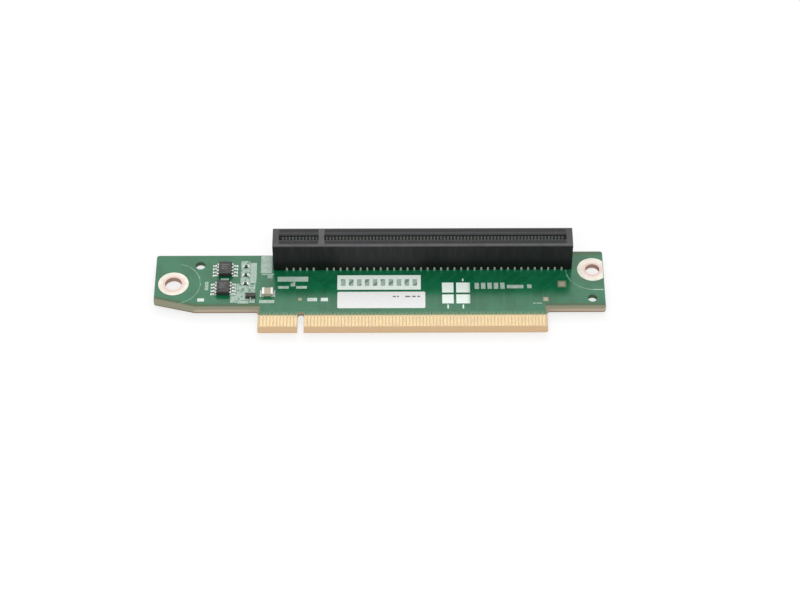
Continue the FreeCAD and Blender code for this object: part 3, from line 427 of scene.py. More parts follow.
def side_tone(finish, sizes, colours, tongue_bare):
    """The colours of the sawn sides, with a painted shadow line low on them, and the holes' walls.
    """
    taper_end = BOARD_LOW.x + sizes.taper_run
    on_slant = finish.x.ramp(taper_end + 1 * MM, taper_end - 1 * MM)
    # Painted shadow: a dark line low on the sawn side stands for the shadow under the board's edge.
    shadow_line = finish.z.ramp(BACK + 0.6 * MM, BACK + 0.2 * MM)
    side = finish.blend(on_slant, colours.sawn, colours.sawn_slant)
    side = finish.blend(shadow_line, side, colours.sawn_shadow)
    side = finish.blend(tongue_bare, side, colours.tip)
    for centre, radius, plated in round_holes():
        in_hole = finish.away_from(centre).ramp(radius + 0.2 * MM, radius + 0.1 * MM)
        side = finish.blend(in_hole, side, colours.barrel if plated else colours.bare_wall)
    return side


def board_finish(sizes, colours):
    """Green mask on both faces, pale margins along the lower edges and sawn sides."""
    finish = Finish("solder_mask", colours.mask, 0.2, specular=0.34)
    x, y, z = finish.x, finish.y, finish.z
    cloudy = finish.noise(5.0 * MM)
    fine = finish.noise(0.22 * MM)
    cloth = finish.weave(0.9 * MM)
    soft = 0.12 * MM

    above_edge, off_tongue = wing_edges(finish, sizes)
    on_wing = off_tongue.ramp(-soft, 0.7 * MM)
    wing_margin = above_edge.ramp(sizes.bare_margin * 1.2, sizes.bare_margin * 0.7) * on_wing
    wing_gap = above_edge.ramp(sizes.gap_reach, sizes.gap_reach * 0.7) * on_wing
    finger_top = FINGERS_HIGH.y + sizes.finger_margin
    tongue_bare = y.ramp(finger_top + soft, finger_top - soft)
    tongue_thin = y.ramp(finger_top + 1.8 * MM, finger_top) * off_tongue.ramp(soft, -soft)
    on_tip = z.ramp(FACE - 0.02 * MM, FACE - 0.1 * MM)
    half = (FACE - BACK) / 2
    on_side = (z - MID_BOARD).size().ramp(half - 0.02 * MM, half - 0.05 * MM)
    far_band = y.ramp(BOARD_HIGH.y - sizes.far_margin, BOARD_HIGH.y - sizes.far_margin * 0.5)
    right_side = x.ramp(SLOT_HIGH.x - soft, SLOT_HIGH.x)
    off_copper = wing_gap.most(far_band * right_side)

    mask = finish.blend(cloudy.ramp(0.40, 0.62), colours.mask, colours.mask_copper)
    mask = finish.blend(off_copper, mask, colours.mask_edge)
    mask = finish.blend(wing_margin, mask, colours.margin)
    mask = finish.blend(tongue_thin * 0.8, mask, colours.finger_side)
    darker = shade(colours.laminate, 0.85)
    bare = finish.blend(cloth * fine, colours.laminate, darker)
    bare = finish.blend(on_tip, bare, colours.tip)
    mask = finish.blend(tongue_bare, mask, bare)
    side = side_tone(finish, sizes, colours, tongue_bare)
    finish.use("Base Color", finish.blend(on_side, mask, side))
    matt = tongue_bare.most(on_side).most(wing_margin * 0.4)
    finish.use("Roughness", matt.spread(0.2, 0.6) + fine * 0.06)
    finish.emboss(cloth * 0.4 + fine * 0.6, 0.005 * MM)
    return finish.material


def copper_finish(colours):
    """The mask where it runs over raised copper: a little paler and glossier."""
    finish = Finish("mask_over_copper", colours.mask_copper, 0.2, specular=0.36)
    cloudy = finish.noise(1.5 * MM)
    fine = finish.noise(0.2 * MM)
    paler = shade(colours.mask_copper, 1.2)
    tone = finish.blend(cloudy.ramp(0.3, 0.7), colours.mask_copper, paler)
    return finish.coat(tone, fine, (0.14, 0.3), 0.004 * MM)


def gold_finish(colours):
    """Plated gold with fine rub marks along the way a card is pushed in."""
    finish = Finish("gold_plating", colours.gold, 0.45, metallic=0.8)
    rubbed = finish.noise(0.12 * MM, stretch=(1, 18, 6), detail=4.0)
    cloudy = finish.noise(2.4 * MM)
    tone = finish.blend((rubbed * cloudy).ramp(0.18, 0.36), colours.gold, colours.gold_worn)
    return finish.coat(tone, rubbed, (0.38, 0.6), 0.003 * MM)


def contact_finish(colours):
    """Dull plated metal of the slot's contacts and legs, streaked along their length, with painted
    shade inside the housing and painted light on the tips.
    """
    finish = Finish("contact_plating", colours.nickel, 0.4, metallic=0.4)
    drawn = finish.noise(0.1 * MM, stretch=(1, 4, 12), detail=3.0)
    darker = shade(colours.nickel, 0.7)
    shaded = shade(colours.nickel, 0.25)
    tip_light = shade(colours.nickel, 0.45)
    tone = finish.blend(drawn.ramp(0.4, 0.7), colours.nickel, darker)
    # Painted shade: the contacts are painted darker inside the housing, where the plastic shades
    # them.
    inside = finish.z.ramp(FACE + 1.2 * MM, FACE + 2.4 * MM)
    tone = finish.blend(inside, tone, shaded)
    # Painted light: the tips in the slot's mouth are painted paler than the shaded part, where
    # light reaches them.
    lit_tips = finish.z.ramp(SLOT_HIGH.z - 3.4 * MM, SLOT_HIGH.z - 2.2 * MM)
    tone = finish.blend(lit_tips, tone, tip_light)
    return finish.coat(tone, drawn, (0.3, 0.5), 0.004 * MM)


def ring_finish(colours):
    """Pale tinned copper of the mounting rings, pinker towards the bore."""
    finish = Finish("ring_plating", colours.ring, 0.5, metallic=0.3)
    grain = finish.noise(0.35 * MM, detail=4.0)
    cloudy = finish.noise(1.8 * MM)
    darker = shade(colours.ring, 0.88)
    tone = finish.blend(cloudy.ramp(0.4, 0.7), colours.ring, darker)
    # The rings turn pinker towards the bore of each plated hole.
    for centre, radius, plated in round_holes():
        if plated:
            worn = finish.away_from(centre).ramp(radius + 1.3 * MM, radius + 0.1 * MM)
            tone = finish.blend(worn, tone, colours.ring_by_bore)
    return finish.coat(tone, grain, (0.4, 0.65), 0.012 * MM)


def tin_finish(colours):
    """Solder: bright, with duller skin and a slightly rippled surface."""
    finish = Finish("solder", colours.tin, 0.35, metallic=0.6)
    ripple = finish.noise(0.3 * MM, detail=3.0)
    cloudy = finish.noise(1.1 * MM)
    tone = finish.blend(cloudy.ramp(0.4, 0.65), colours.tin, colours.tin_dull)
    return finish.coat(tone, ripple, (0.25, 0.5), 0.015 * MM)


def pad_finish(colours):
    """Tinned test pads: bright on the left wing, and tarnished round the rim elsewhere."""
    finish = Finish("test_pad_tin", colours.tin, 0.4, metallic=0.3)
    ripple = finish.noise(0.3 * MM, detail=3.0)
    tone = colours.tin
    for low, high in loose_boxes("test_pads")[1:]:
        middle = (low + high) / 2
        reach = (high.x - low.x) / 2
        away = (finish.x - middle.x).size().most((finish.y - middle.y).size())
        over = (finish.x - low.x).ramp(-0.2 * MM, -0.1 * MM)
        rubbed = away.ramp(reach * 0.95, reach * 0.45)
        worn = finish.blend(rubbed, colours.pad_dull, colours.pad_worn)
        tone = finish.blend(over, tone, worn)
    return finish.coat(tone, ripple, (0.35, 0.6), 0.012 * MM)


def slot_finish(sizes, colours):
    """Black plastic with a moulded grain and upright flow marks, with painted highlights on its
    edges and lips and painted shade low down.
    """
    finish = Finish("slot_plastic", colours.slot, 0.5, specular=0.3)
    x, y, z = finish.x, finish.y, finish.z
    grain = finish.noise(0.09 * MM, detail=3.0)
    flow = finish.noise(0.9 * MM, stretch=(1, 3, 9), detail=3.0)
    patchy = finish.noise(2.5 * MM, detail=3.0)
    middle_y = (SLOT_LOW.y + SLOT_HIGH.y) / 2
    middle_x = (SLOT_LOW.x + SLOT_HIGH.x) / 2
    near_top = z.ramp(SLOT_HIGH.z - 0.85 * MM, SLOT_HIGH.z - 0.35 * MM)
    under_lip = z.ramp(SLOT_HIGH.z - 0.8 * MM, SLOT_HIGH.z - 1.1 * MM)
    mouth = under_lip * z.ramp(SLOT_HIGH.z - 3.0 * MM, SLOT_HIGH.z - 2.4 * MM)
    from_front = (y - middle_y).size()
    reach_y = SLOT_HIGH.y - middle_y
    reach_x = SLOT_HIGH.x - middle_x
    outer = from_front.ramp(reach_y - 0.75 * MM, reach_y - 0.35 * MM)
    from_middle = (x - middle_x).size()
    ends = from_middle.ramp(reach_x - 2.2 * MM, reach_x - 1.7 * MM)
    inside = from_middle.ramp(reach_x - 0.5 * MM, reach_x - 1.0 * MM)
    lip = (from_front - 1.4 * MM).size().ramp(0.4 * MM, 0.15 * MM)
    key = (x - SLOT_LOW.x - sizes.key_inset).size().ramp(1.0 * MM, 0.8 * MM)
    throat = from_front.ramp(1.5 * MM, 1.3 * MM) * inside * mouth
    # Painted highlight: the top edges, ends, groove lips and key bar are painted paler where light
    # catches them, and the groove walls under the lip where light reaches in.
    painted_highlight = (outer.most(ends * 0.6).most(lip * 0.4).most(key) * near_top).most(throat)
    painted_highlight = painted_highlight * patchy.spread(0.6, 1.3)
    tone = finish.blend(flow.ramp(0.4, 0.75), colours.slot, colours.slot_pale)
    # Painted shade: the plastic is painted darker towards the board, where the lower front of the
    # slot lies in shade.
    darker = shade(colours.slot, 0.2)
    tone = finish.blend(z.ramp(FACE + 6 * MM, FACE + 2.5 * MM), tone, darker)
    finish.use("Base Color", finish.blend(painted_highlight, tone, colours.slot_highlight))
    finish.use("Roughness", (flow * 0.5 + grain * 0.5).spread(0.4, 0.6))
    finish.emboss(grain, 0.008 * MM)
    return finish.material


def moulded_finish(name, colour, pale):
    """Matt moulded resin with a fine sparkle of filler."""
    finish = Finish(name, colour, 0.5, specular=0.5)
    grain = finish.noise(0.07 * MM, detail=4.0)
    cloudy = finish.noise(0.8 * MM)
    tone = finish.blend((grain * cloudy).ramp(0.2, 0.45), colour, pale)
    return finish.coat(tone, grain, (0.4, 0.62), 0.007 * MM)


def ceramic_finish(colours):
    """Fired ceramic of the capacitor."""
    finish = Finish("ceramic", colours.ceramic, 0.4)
    speck = finish.noise(0.16 * MM, detail=5.0)
    darker = shade(colours.ceramic, 0.6)
    tone = finish.blend(speck.ramp(0.45, 0.7), colours.ceramic, darker)
    return finish.coat(tone, speck, (0.3, 0.55), 0.006 * MM)


def paper_finish(colours):
    """Matt label paper with faint fibres."""
    finish = Finish("label_paper", colours.paper, 0.85)
    fibre = finish.noise(0.25 * MM, stretch=(3, 1, 1), detail=5.0)
    greyer = shade(colours.paper, 0.93)
    finish.use("Base Color", finish.blend(fibre.ramp(0.4, 0.7), colours.paper, greyer))
    finish.emboss(fibre, 0.006 * MM)
    return finish.material


def ink_finish(colours):
    """White screen print: dense on the middle of the board and thin on the left wing."""
    finish = Finish("white_ink", colours.ink, 0.6)
    mottle = finish.noise(0.45 * MM, detail=5.0)
    fine = finish.noise(0.12 * MM)
    wing = finish.x.ramp(LABEL_LOW.x + 2 * MM, SLOT_LOW.x + 4 * MM)
    bars = finish.x.ramp(LABEL_HIGH.x + 12 * MM, LABEL_HIGH.x + 14 * MM)
    thin = wing.most(bars)
    patchy = mottle.ramp(0.35, 0.65).spread(0.75, 1.0)
    finish.use("Base Color", finish.blend(thin * patchy, colours.ink, colours.ink_thin))
    finish.use("Roughness", fine.spread(0.5, 0.75))
    finish.emboss(mottle, 0.006 * MM)
    return finish.material


def thin_ink_finish(name, colours, ink, gaps):
    """Thin grey print; gaps, from 0 to 1, is how much of the mask shows through it."""
    finish = Finish(name, ink, 0.65)
    mottle = finish.noise(0.5 * MM, detail=5.0)
    spots = finish.noise(0.8 * MM, detail=3.0)
    paler = [thin * 0.75 + full * 0.25 for thin, full in zip(ink, colours.ink)]
    tone = finish.blend(mottle.ramp(0.3, 0.7), ink, paler)
    bare = spots.ramp(0.48, 0.66) * gaps
    tone = finish.blend(bare, tone, colours.mask_copper)
    return finish.coat(tone, mottle, (0.5, 0.75), 0.004 * MM)


def dark_ink_finish(colours):
    """Dark thermal print on the label."""
    finish = Finish("label_ink", colours.label_ink, 0.7)
    grain = finish.noise(0.15 * MM, detail=4.0)
    paler = shade(colours.label_ink, 2.6)
    finish.use("Base Color", finish.blend(grain.ramp(0.4, 0.7), colours.label_ink, paler))
    return finish.material


def mark_finish(colours):
    """Pale marking burnt into the chips' tops."""
    finish = Finish("chip_marking", colours.chip_mark, 0.7)
    grain = finish.noise(0.1 * MM, detail=4.0)
    finish.use("Base Color", finish.blend(grain.ramp(0.4, 0.7), colours.chip_mark, colours.chip))
    return finish.material


def seen_directly(tree):
    """1 for rays from the camera, in mirrors and through glass, and 0 for light that falls."""
    path = tree.nodes.new("ShaderNodeLightPath")
    rays = [Field(tree, path.outputs[name]) for name in (
        "Is Camera Ray", "Is Glossy Ray", "Is Transmission Ray")]
    return rays[0].most(rays[1]).most(rays[2])


def floor_finish(colours, studio):
    """Pale floor that looks white to the camera and still takes a soft shadow."""
    finish = Finish("studio_floor", colours.floor, 0.9, specular=0.0)
    seen = seen_directly(finish.tree)
    grain = finish.noise(1.5 * MM)
    greyer = shade(colours.floor, 0.99)
    paper = finish.blend(grain, colours.floor, greyer)
    finish.use("Base Color", finish.blend(seen, paper, colours.floor_shade))
    finish.shader.inputs["Emission Color"].default_value = (1, 1, 1, 1)
    finish.use("Emission Strength", seen * studio.floor_glow)
    return finish.material


def wear(material, *nodes):
    """Give nodes of the frame a material."""
    for name in nodes:
        mesh = frame["nodes"][name].data
        mesh.materials.clear()
        mesh.materials.append(material)


# ---------------------------------------------------------------- shapes


def islands(mesh):
    """The vertices of each separate solid in a mesh."""
    waiting = set(mesh.verts)
    while waiting:
        group = [waiting.pop()]
        for vert in group:
            for edge in vert.link_edges:
                other = edge.other_vert(vert)
                if other in waiting:
                    waiting.remove(other)
                    group.append(other)
        yield group


def face_outwards(mesh):
    """Turn the faces of every closed solid in a mesh outwards.

    The operator can read a small wedge wrongly, so each solid's volume is checked for its sign.
    """
    bmesh.ops.recalc_face_normals(mesh, faces=mesh.faces)
    for group in islands(mesh):
        faces = list({face for vert in group for face in vert.link_faces})
        volume = sum(
            (face.calc_center_median() - group[0].co).dot(face.normal) * face.calc_area()
            for face in faces)
        if volume < 0:
            bmesh.ops.reverse_faces(mesh, faces=faces)


def loose_boxes(node):
    """The lowest and highest corner of each separate solid in a node, from left to right."""
    mesh = bmesh.new()
    mesh.from_mesh(frame["nodes"][node].data)
    bmesh.ops.remove_doubles(mesh, verts=mesh.verts, dist=0.0001 * MM)
    boxes = []
    for group in islands(mesh):
        boxes.append(tuple(
            Vector([pick(vert.co[axis] for vert in group) for axis in range(3)])
            for pick in (min, max)))
    mesh.free()
    return sorted(boxes, key=lambda box: tuple(box[0]))


def new_object(name, data):
    """Put a mesh, lamp or camera in the scene as an object."""
    item = bpy.data.objects.new(name, data)
    bpy.context.scene.collection.objects.link(item)
    return item


def mesh_object(name, mesh, material):
    """Put a finished bmesh in the scene with its material."""
    data = bpy.data.meshes.new(name)
    mesh.to_mesh(data)
    mesh.free()
    data.materials.append(material)
    return new_object(name, data)


def new_piece(name, mesh, material):
    """Turn a finished bmesh into a piece that rides on the card."""
    face_outwards(mesh)
    piece = mesh_object(name, mesh, material)
    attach(piece, "root")
    return piece


def raise_faces(mesh, faces, offset):
    """Extrude faces by an offset, which closes a flat shape into a solid.

    The edges go with the faces, so that faces inside a solid that grows are taken out.
    """
    region = {item for face in faces for item in (face, *face.edges)}
    grown = bmesh.ops.extrude_face_region(mesh, geom=list(region))["geom"]
    verts = [item for item in grown if isinstance(item, bmesh.types.BMVert)]
    bmesh.ops.translate(mesh, vec=offset, verts=verts)
    return [item for item in grown if isinstance(item, bmesh.types.BMFace)]


def add_ribbon(mesh, route, width, low, high):
    """A flat strip of even width along a route, with mitred corners."""
    steps = [(after - before).normalized() for before, after in zip(route, route[1:])]
    faces = []
    edge = None
    ends = None
    for index, spot in enumerate(route):
        before = steps[max(index - 1, 0)]
        after = steps[min(index, len(steps) - 1)]
        across = Vector((-before.y - after.y, before.x + after.x))
        across *= width / 2 / (1 + before.dot(after))
        sides = [Vector((spot.x + way * across.x, spot.y + way * across.y, low)) for way in (-1, 1)]
        if edge is None:
            edge = mesh.edges.new([mesh.verts.new(side) for side in sides])
        else:
            grown = bmesh.ops.extrude_edge_only(mesh, edges=[edge])["geom"]
            edge = next(item for item in grown if isinstance(item, bmesh.types.BMEdge))
            faces += [item for item in grown if isinstance(item, bmesh.types.BMFace)]
            for vert in edge.verts:
                vert.co = min(zip(ends, sides), key=lambda pair: (pair[0] - vert.co).length)[1]
        ends = sides
    raise_faces(mesh, faces, (0, 0, high - low))


def turned_pattern(profile, segments):
    """A round form about the upright axis, closed from its first ring to its last."""
    mesh = bmesh.new()
    (radius, height), *rest = profile
    ring = bmesh.ops.create_circle(
        mesh, cap_ends=True, radius=radius, segments=segments,
        matrix=Matrix.Translation((0, 0, height)))["verts"]
    cap = ring[0].link_faces[0]
    for next_radius, next_height in rest:
        cap = raise_faces(mesh, [cap], (0, 0, next_height - height))[0]
        share = next_radius / radius
        bmesh.ops.scale(mesh, vec=(share, share, 1), verts=cap.verts)
        radius, height = next_radius, next_height
    return mesh


def add_block(mesh, low, high, bevel, slope=None):
    """A block with softened edges; slope draws in its top, by axis and side, to a wedge."""
    size = high - low
    middle = (high + low) / 2
    seat = Matrix.Translation(middle) @ Matrix.Diagonal((*size, 1))
    made = bmesh.ops.create_cube(mesh, size=1, matrix=seat)["verts"]
    if slope:
        axis, side = slope
        for vert in made:
            if (vert.co - middle)[axis] * side > 0 and vert.co.z > middle.z:
                vert.co.z = low.z + size.z * WEDGE
    edges = list({edge for vert in made for edge in vert.link_edges})
    bmesh.ops.bevel(
        mesh, geom=edges, offset=bevel, segments=1, profile=0.5, affect="EDGES", material=-1)


def add_bar(mesh, corner, size, rise):
    """A printed bar, half sunk in the surface at the height of its lower left corner."""
    depth = Vector((0, 0, rise))
    add_block(mesh, corner - depth, corner + size.to_3d() + depth, rise / 2)


def add_field(mesh, low, high, gaps, rise):
    """A thin flat field on the board's face, left open over gaps given as low and high."""
    width, depth = high - low
    seat = Matrix.Translation(((low.x + high.x) / 2, (low.y + high.y) / 2, FACE))
    corners = bmesh.ops.create_grid(
        mesh, x_segments=1, y_segments=1, size=0.5,
        matrix=seat @ Matrix.Diagonal((width, depth, 1, 1)))["verts"]
    sheet = [corners[0].link_faces[0]]
    for corner in (corner for gap in gaps for corner in gap):
        for normal in ((1, 0, 0), (0, 1, 0)):
            parts = {item for face in sheet for item in (face, *face.edges, *face.verts)}
            cut = bmesh.ops.bisect_plane(
                mesh, geom=list(parts), dist=0.01 * MM, plane_co=corner.to_3d(), plane_no=normal)
            sheet = [item for item in cut["geom"] if isinstance(item, bmesh.types.BMFace)]
    covered = [face for face in sheet if any(
        gap_low.x < face.calc_center_median().x < gap_high.x
        and gap_low.y < face.calc_center_median().y < gap_high.y
        for gap_low, gap_high in gaps)]
    kept = [face for face in sheet if face not in covered]
    bmesh.ops.delete(mesh, geom=covered, context="FACES")
    raise_faces(mesh, kept, (0, 0, rise))


def stamp(name, pattern, spots, material):
    """One piece made of copies of a bmesh, each moved to its own spot."""
    template = bpy.data.meshes.new(name + "_pattern")
    pattern.to_mesh(template)
    pattern.free()
    mesh = bmesh.new()
    for spot in spots:
        copy = template.copy()
        copy.transform(Matrix.Translation(spot))
        mesh.from_mesh(copy)
        bpy.data.meshes.remove(copy)
    bpy.data.meshes.remove(template)
    return new_piece(name, mesh, material)


def add_fillet(mesh, foot, axis, middle, lap, reach, margin, rise, bevel):
    """A solder wedge at the end of a foot that points away from the middle along an axis.

    It goes back over the foot by lap, out by reach, and past the foot's sides by margin.
    """
    low, high = foot
    side = 1 if middle_of(foot)[axis] > middle[axis] else -1
    toe = high[axis] if side > 0 else low[axis]
    near, far = low.copy(), high.copy()
    near[axis], far[axis] = sorted((toe - side * lap, toe + side * reach))
    near[1 - axis] -= margin
    far[1 - axis] += margin
    far.z = low.z + rise
    add_block(mesh, near, far, bevel, slope=(axis, side))


def soften(piece, degrees=60):
    """Shade a piece smoothly where its faces meet at less than an angle."""
    piece.data.shade_smooth()
    piece.data.set_sharp_from_angle(angle=math.radians(degrees))


def middle_of(box):
    """The middle of a low and high corner."""
    return (box[0] + box[1]) / 2


# ---------------------------------------------------------------- copper


def trace_routes(sizes, fingers, pads):
    """Routes from the fingers to the slot's front pads, and stubs for the other fingers.

    Fingers come in fours: the first two carry a pair of signals and the next two are joined
    to the inner copper by a via just above the finger.
    """
    routes = []
    vias = []
    top = FINGERS_HIGH.y
    bend = SLOT_LOW.y - sizes.trace_bend
    for number, (finger, pad) in enumerate(zip(fingers, pads)):
        start = Vector((finger.x, top))
        if number % 4 in (0, 3):
            stagger = sizes.via_stagger * (number % 8 > 3)
            via = Vector((finger.x, top + sizes.via_reach + stagger))
            routes.append([start, via])
            vias.append(via)
            continue
        lean = 1 if number % 4 == 1 else -1
        squeeze = lean * (abs(fingers[1].x - fingers[0].x) - sizes.pair_pitch) / 2
        run = pad.x - finger.x
        routes.append([
            start,
            start + Vector((0, sizes.trace_start)),
            start + Vector((squeeze, sizes.trace_start + abs(squeeze))),
            Vector((finger.x + squeeze, bend)),
            Vector((pad.x + squeeze, bend + abs(run))),
            Vector((pad.x + squeeze, pad.y - sizes.trace_end)),
            Vector((pad.x, pad.y)),
        ])
    return routes, vias


def row_middles(node):
    """The middles of a node's solids as places on the board, from left to right."""
    return [middle_of(box).to_2d() for box in loose_boxes(node)]


def copper_side(side, fingers_node, front, level, rise, sizes, material):
    """The traces and via rings of one face of the board."""
    fingers = row_middles(fingers_node)
    middle = (SLOT_LOW.y + SLOT_HIGH.y) / 2
    pads = [spot for spot in row_middles("slot_pin_pads") if (spot.y < middle) == front]
    routes, vias = trace_routes(sizes, fingers, pads)
    mesh = bmesh.new()
    for route in routes:
        add_ribbon(mesh, route, sizes.trace_width, level + rise * SUNK, level + rise)
    new_piece("copper_traces_" + side, mesh, material)
    profile = [(sizes.via_radius * wide, rise * tall) for wide, tall in VIA_PROFILE]
    pattern = turned_pattern(profile, sizes.via_sides)
    spots = [via.to_3d() + Vector((0, 0, level)) for via in vias]
    rings = stamp("vias_" + side, pattern, spots, material)
    soften(rings, 40)


# ---------------------------------------------------------------- operators


class RISERCARD_OT_finish_board(bpy.types.Operator):
    """Give the circuit board its solder mask and its bare laminate edges"""

    bl_idname = "riser_card.finish_board"
    bl_label = "Finish board"

    def execute(self, context):
        sizes, colours, _ = settings()
        wear(board_finish(sizes, colours), "circuit_board")
        return {"FINISHED"}


class RISERCARD_OT_run_copper(bpy.types.Operator):
    """Run the traces from the fingers to the slot's pins and set the vias"""

    bl_idname = "riser_card.run_copper"
    bl_label = "Run copper"

    def execute(self, context):
        sizes, colours, _ = settings()
        material = copper_finish(colours)
        rise = sizes.trace_rise
        copper_side("face", "edge_fingers_top", True, FACE, rise, sizes, material)
        copper_side("back", "edge_fingers_bottom", False, BACK, -rise, sizes, material)
        return {"FINISHED"}


class RISERCARD_OT_plate_metal(bpy.types.Operator):
    """Plate the fingers, contacts, pads and mounting rings"""

    bl_idname = "riser_card.plate_metal"
    bl_label = "Plate metal"

    def execute(self, context):
        _, colours, _ = settings()
        wear(gold_finish(colours), "edge_fingers_top", "edge_fingers_bottom")
        wear(
            contact_finish(colours), "slot_contacts_front_outer", "slot_contacts_front_inner",
            "slot_contacts_rear_outer", "slot_contacts_rear_inner")
        wear(ring_finish(colours), "left_hole_rings", "right_hole_rings")
        # The lands of the slot's pins are under the mask.
        wear(copper_finish(colours), "slot_pin_pads")
        wear(tin_finish(colours), "component_pads")
        wear(pad_finish(colours), "test_pads")
        return {"FINISHED"}


class RISERCARD_OT_mould_slot(bpy.types.Operator):
    """Give the card slot its moulded plastic"""

    bl_idname = "riser_card.mould_slot"
    bl_label = "Mould slot"

    def execute(self, context):
        sizes, colours, _ = settings()
        wear(slot_finish(sizes, colours), "slot_housing")
        return {"FINISHED"}


class RISERCARD_OT_solder_pins(bpy.types.Operator):
    """Replace the plain solder cones on the back by joints with hollow flanks"""

    bl_idname = "riser_card.solder_pins"
    bl_label = "Solder pins"

    def execute(self, context):
        sizes, colours, _ = settings()
        joints = [middle_of(box) for box in loose_boxes("slot_solder_joints")]
        if not joints:
            raise RuntimeError("the frame has no solder joints to follow")
        profile = [
            (sizes.joint_radius * wide, sizes.joint_height * tall) for wide, tall in JOINT_PROFILE]
        pattern = turned_pattern(profile, sizes.joint_sides)
        spots = [Vector((joint.x, joint.y, BACK)) for joint in joints]
        joint_piece = stamp("pin_solder", pattern, spots, tin_finish(colours))
        soften(joint_piece)
        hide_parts("slot_solder_joints")
        return {"FINISHED"}


class RISERCARD_OT_dress_chips(bpy.types.Operator):
    """Finish the two chips, mark their tops and solder their feet"""

    bl_idname = "riser_card.dress_chips"
    bl_label = "Dress chips"

    def execute(self, context):
        sizes, colours, _ = settings()
        resin = moulded_finish("chip_resin", colours.chip, shade(colours.chip, 2.2))
        tin = tin_finish(colours)
        marking = mark_finish(colours)
        wear(resin, "chip_1_body", "chip_2_body", "transistor_body")
        wear(tin, "chip_1_leads", "chip_2_leads", "transistor_leads")
        for number in (1, 2):
            low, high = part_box("chip_%d_body" % number)
            self.solder_feet(number, (low + high) / 2, sizes, tin)
            self.mark_top(number, low, high, sizes, marking)
        return {"FINISHED"}

    def solder_feet(self, number, middle, sizes, tin):
        """A toe fillet in front of each foot."""
        mesh = bmesh.new()
        margin = sizes.toe_margin
        for foot in loose_boxes("chip_%d_leads" % number):
            add_fillet(
                mesh, foot, 0, middle, margin, sizes.toe_reach, margin, sizes.fillet_rise,
                sizes.toe_bevel)
        soften(new_piece("chip_%d_solder" % number, mesh, tin))

    def mark_top(self, number, low, high, sizes, marking):
        """Plain short bars where a chip carries its marking."""
        mesh = bmesh.new()
        for row, shares in enumerate(CHIP_ROWS):
            y = high.y - sizes.mark_drop - sizes.mark_pitch * row
            x = low.x + sizes.mark_inset
            for share in shares:
                size = Vector((share * sizes.mark_room, sizes.mark_height))
                add_bar(mesh, Vector((x, y, high.z)), size, sizes.print_rise)
                x += size.x + sizes.mark_gap
        new_piece("chip_%d_marking" % number, mesh, marking)


class RISERCARD_OT_dress_small_parts(bpy.types.Operator):
    """Finish the capacitor, resistors and transistor and solder them down"""

    bl_idname = "riser_card.dress_small_parts"
    bl_label = "Dress small parts"

    def execute(self, context):
        sizes, colours, _ = settings()
        tin = tin_finish(colours)
        pale = shade(colours.coating, 2.5)
        wear(ceramic_finish(colours), "capacitor_body")
        wear(moulded_finish("resistor_coat", colours.coating, pale), "resistor_bodies")
        wear(tin, "capacitor_end_caps", "resistor_end_caps")
        self.solder_caps("capacitor", "capacitor_body", sizes, tin)
        self.solder_caps("resistor", "resistor_bodies", sizes, tin)
        self.solder_transistor(sizes, tin)
        return {"FINISHED"}

    def solder_caps(self, part, body, sizes, tin):
        """A sloping fillet up half the outer side of each end cap."""
        mesh = bmesh.new()
        middle = middle_of(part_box(body))
        for low, high in loose_boxes(part + "_end_caps"):
            rise = (high.z - low.z) / 2
            add_fillet(
                mesh, (low, high), 0, middle, sizes.bead_lap, rise * CAP_FILLET_RUN,
                -sizes.bead_inset, rise, sizes.bead_margin)
        soften(new_piece(part + "_solder", mesh, tin))

    def solder_transistor(self, sizes, tin):
        """A fillet at the end of each of the three feet."""
        mesh = bmesh.new()
        middle = middle_of(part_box("transistor_body"))
        margin = sizes.bead_margin
        for foot in loose_boxes("transistor_leads"):
            add_fillet(
                mesh, foot, 1, middle, sizes.bead_lap, sizes.bead_reach, margin,
                sizes.fillet_rise * SMALL_FILLET, margin)
        soften(new_piece("transistor_solder", mesh, tin))


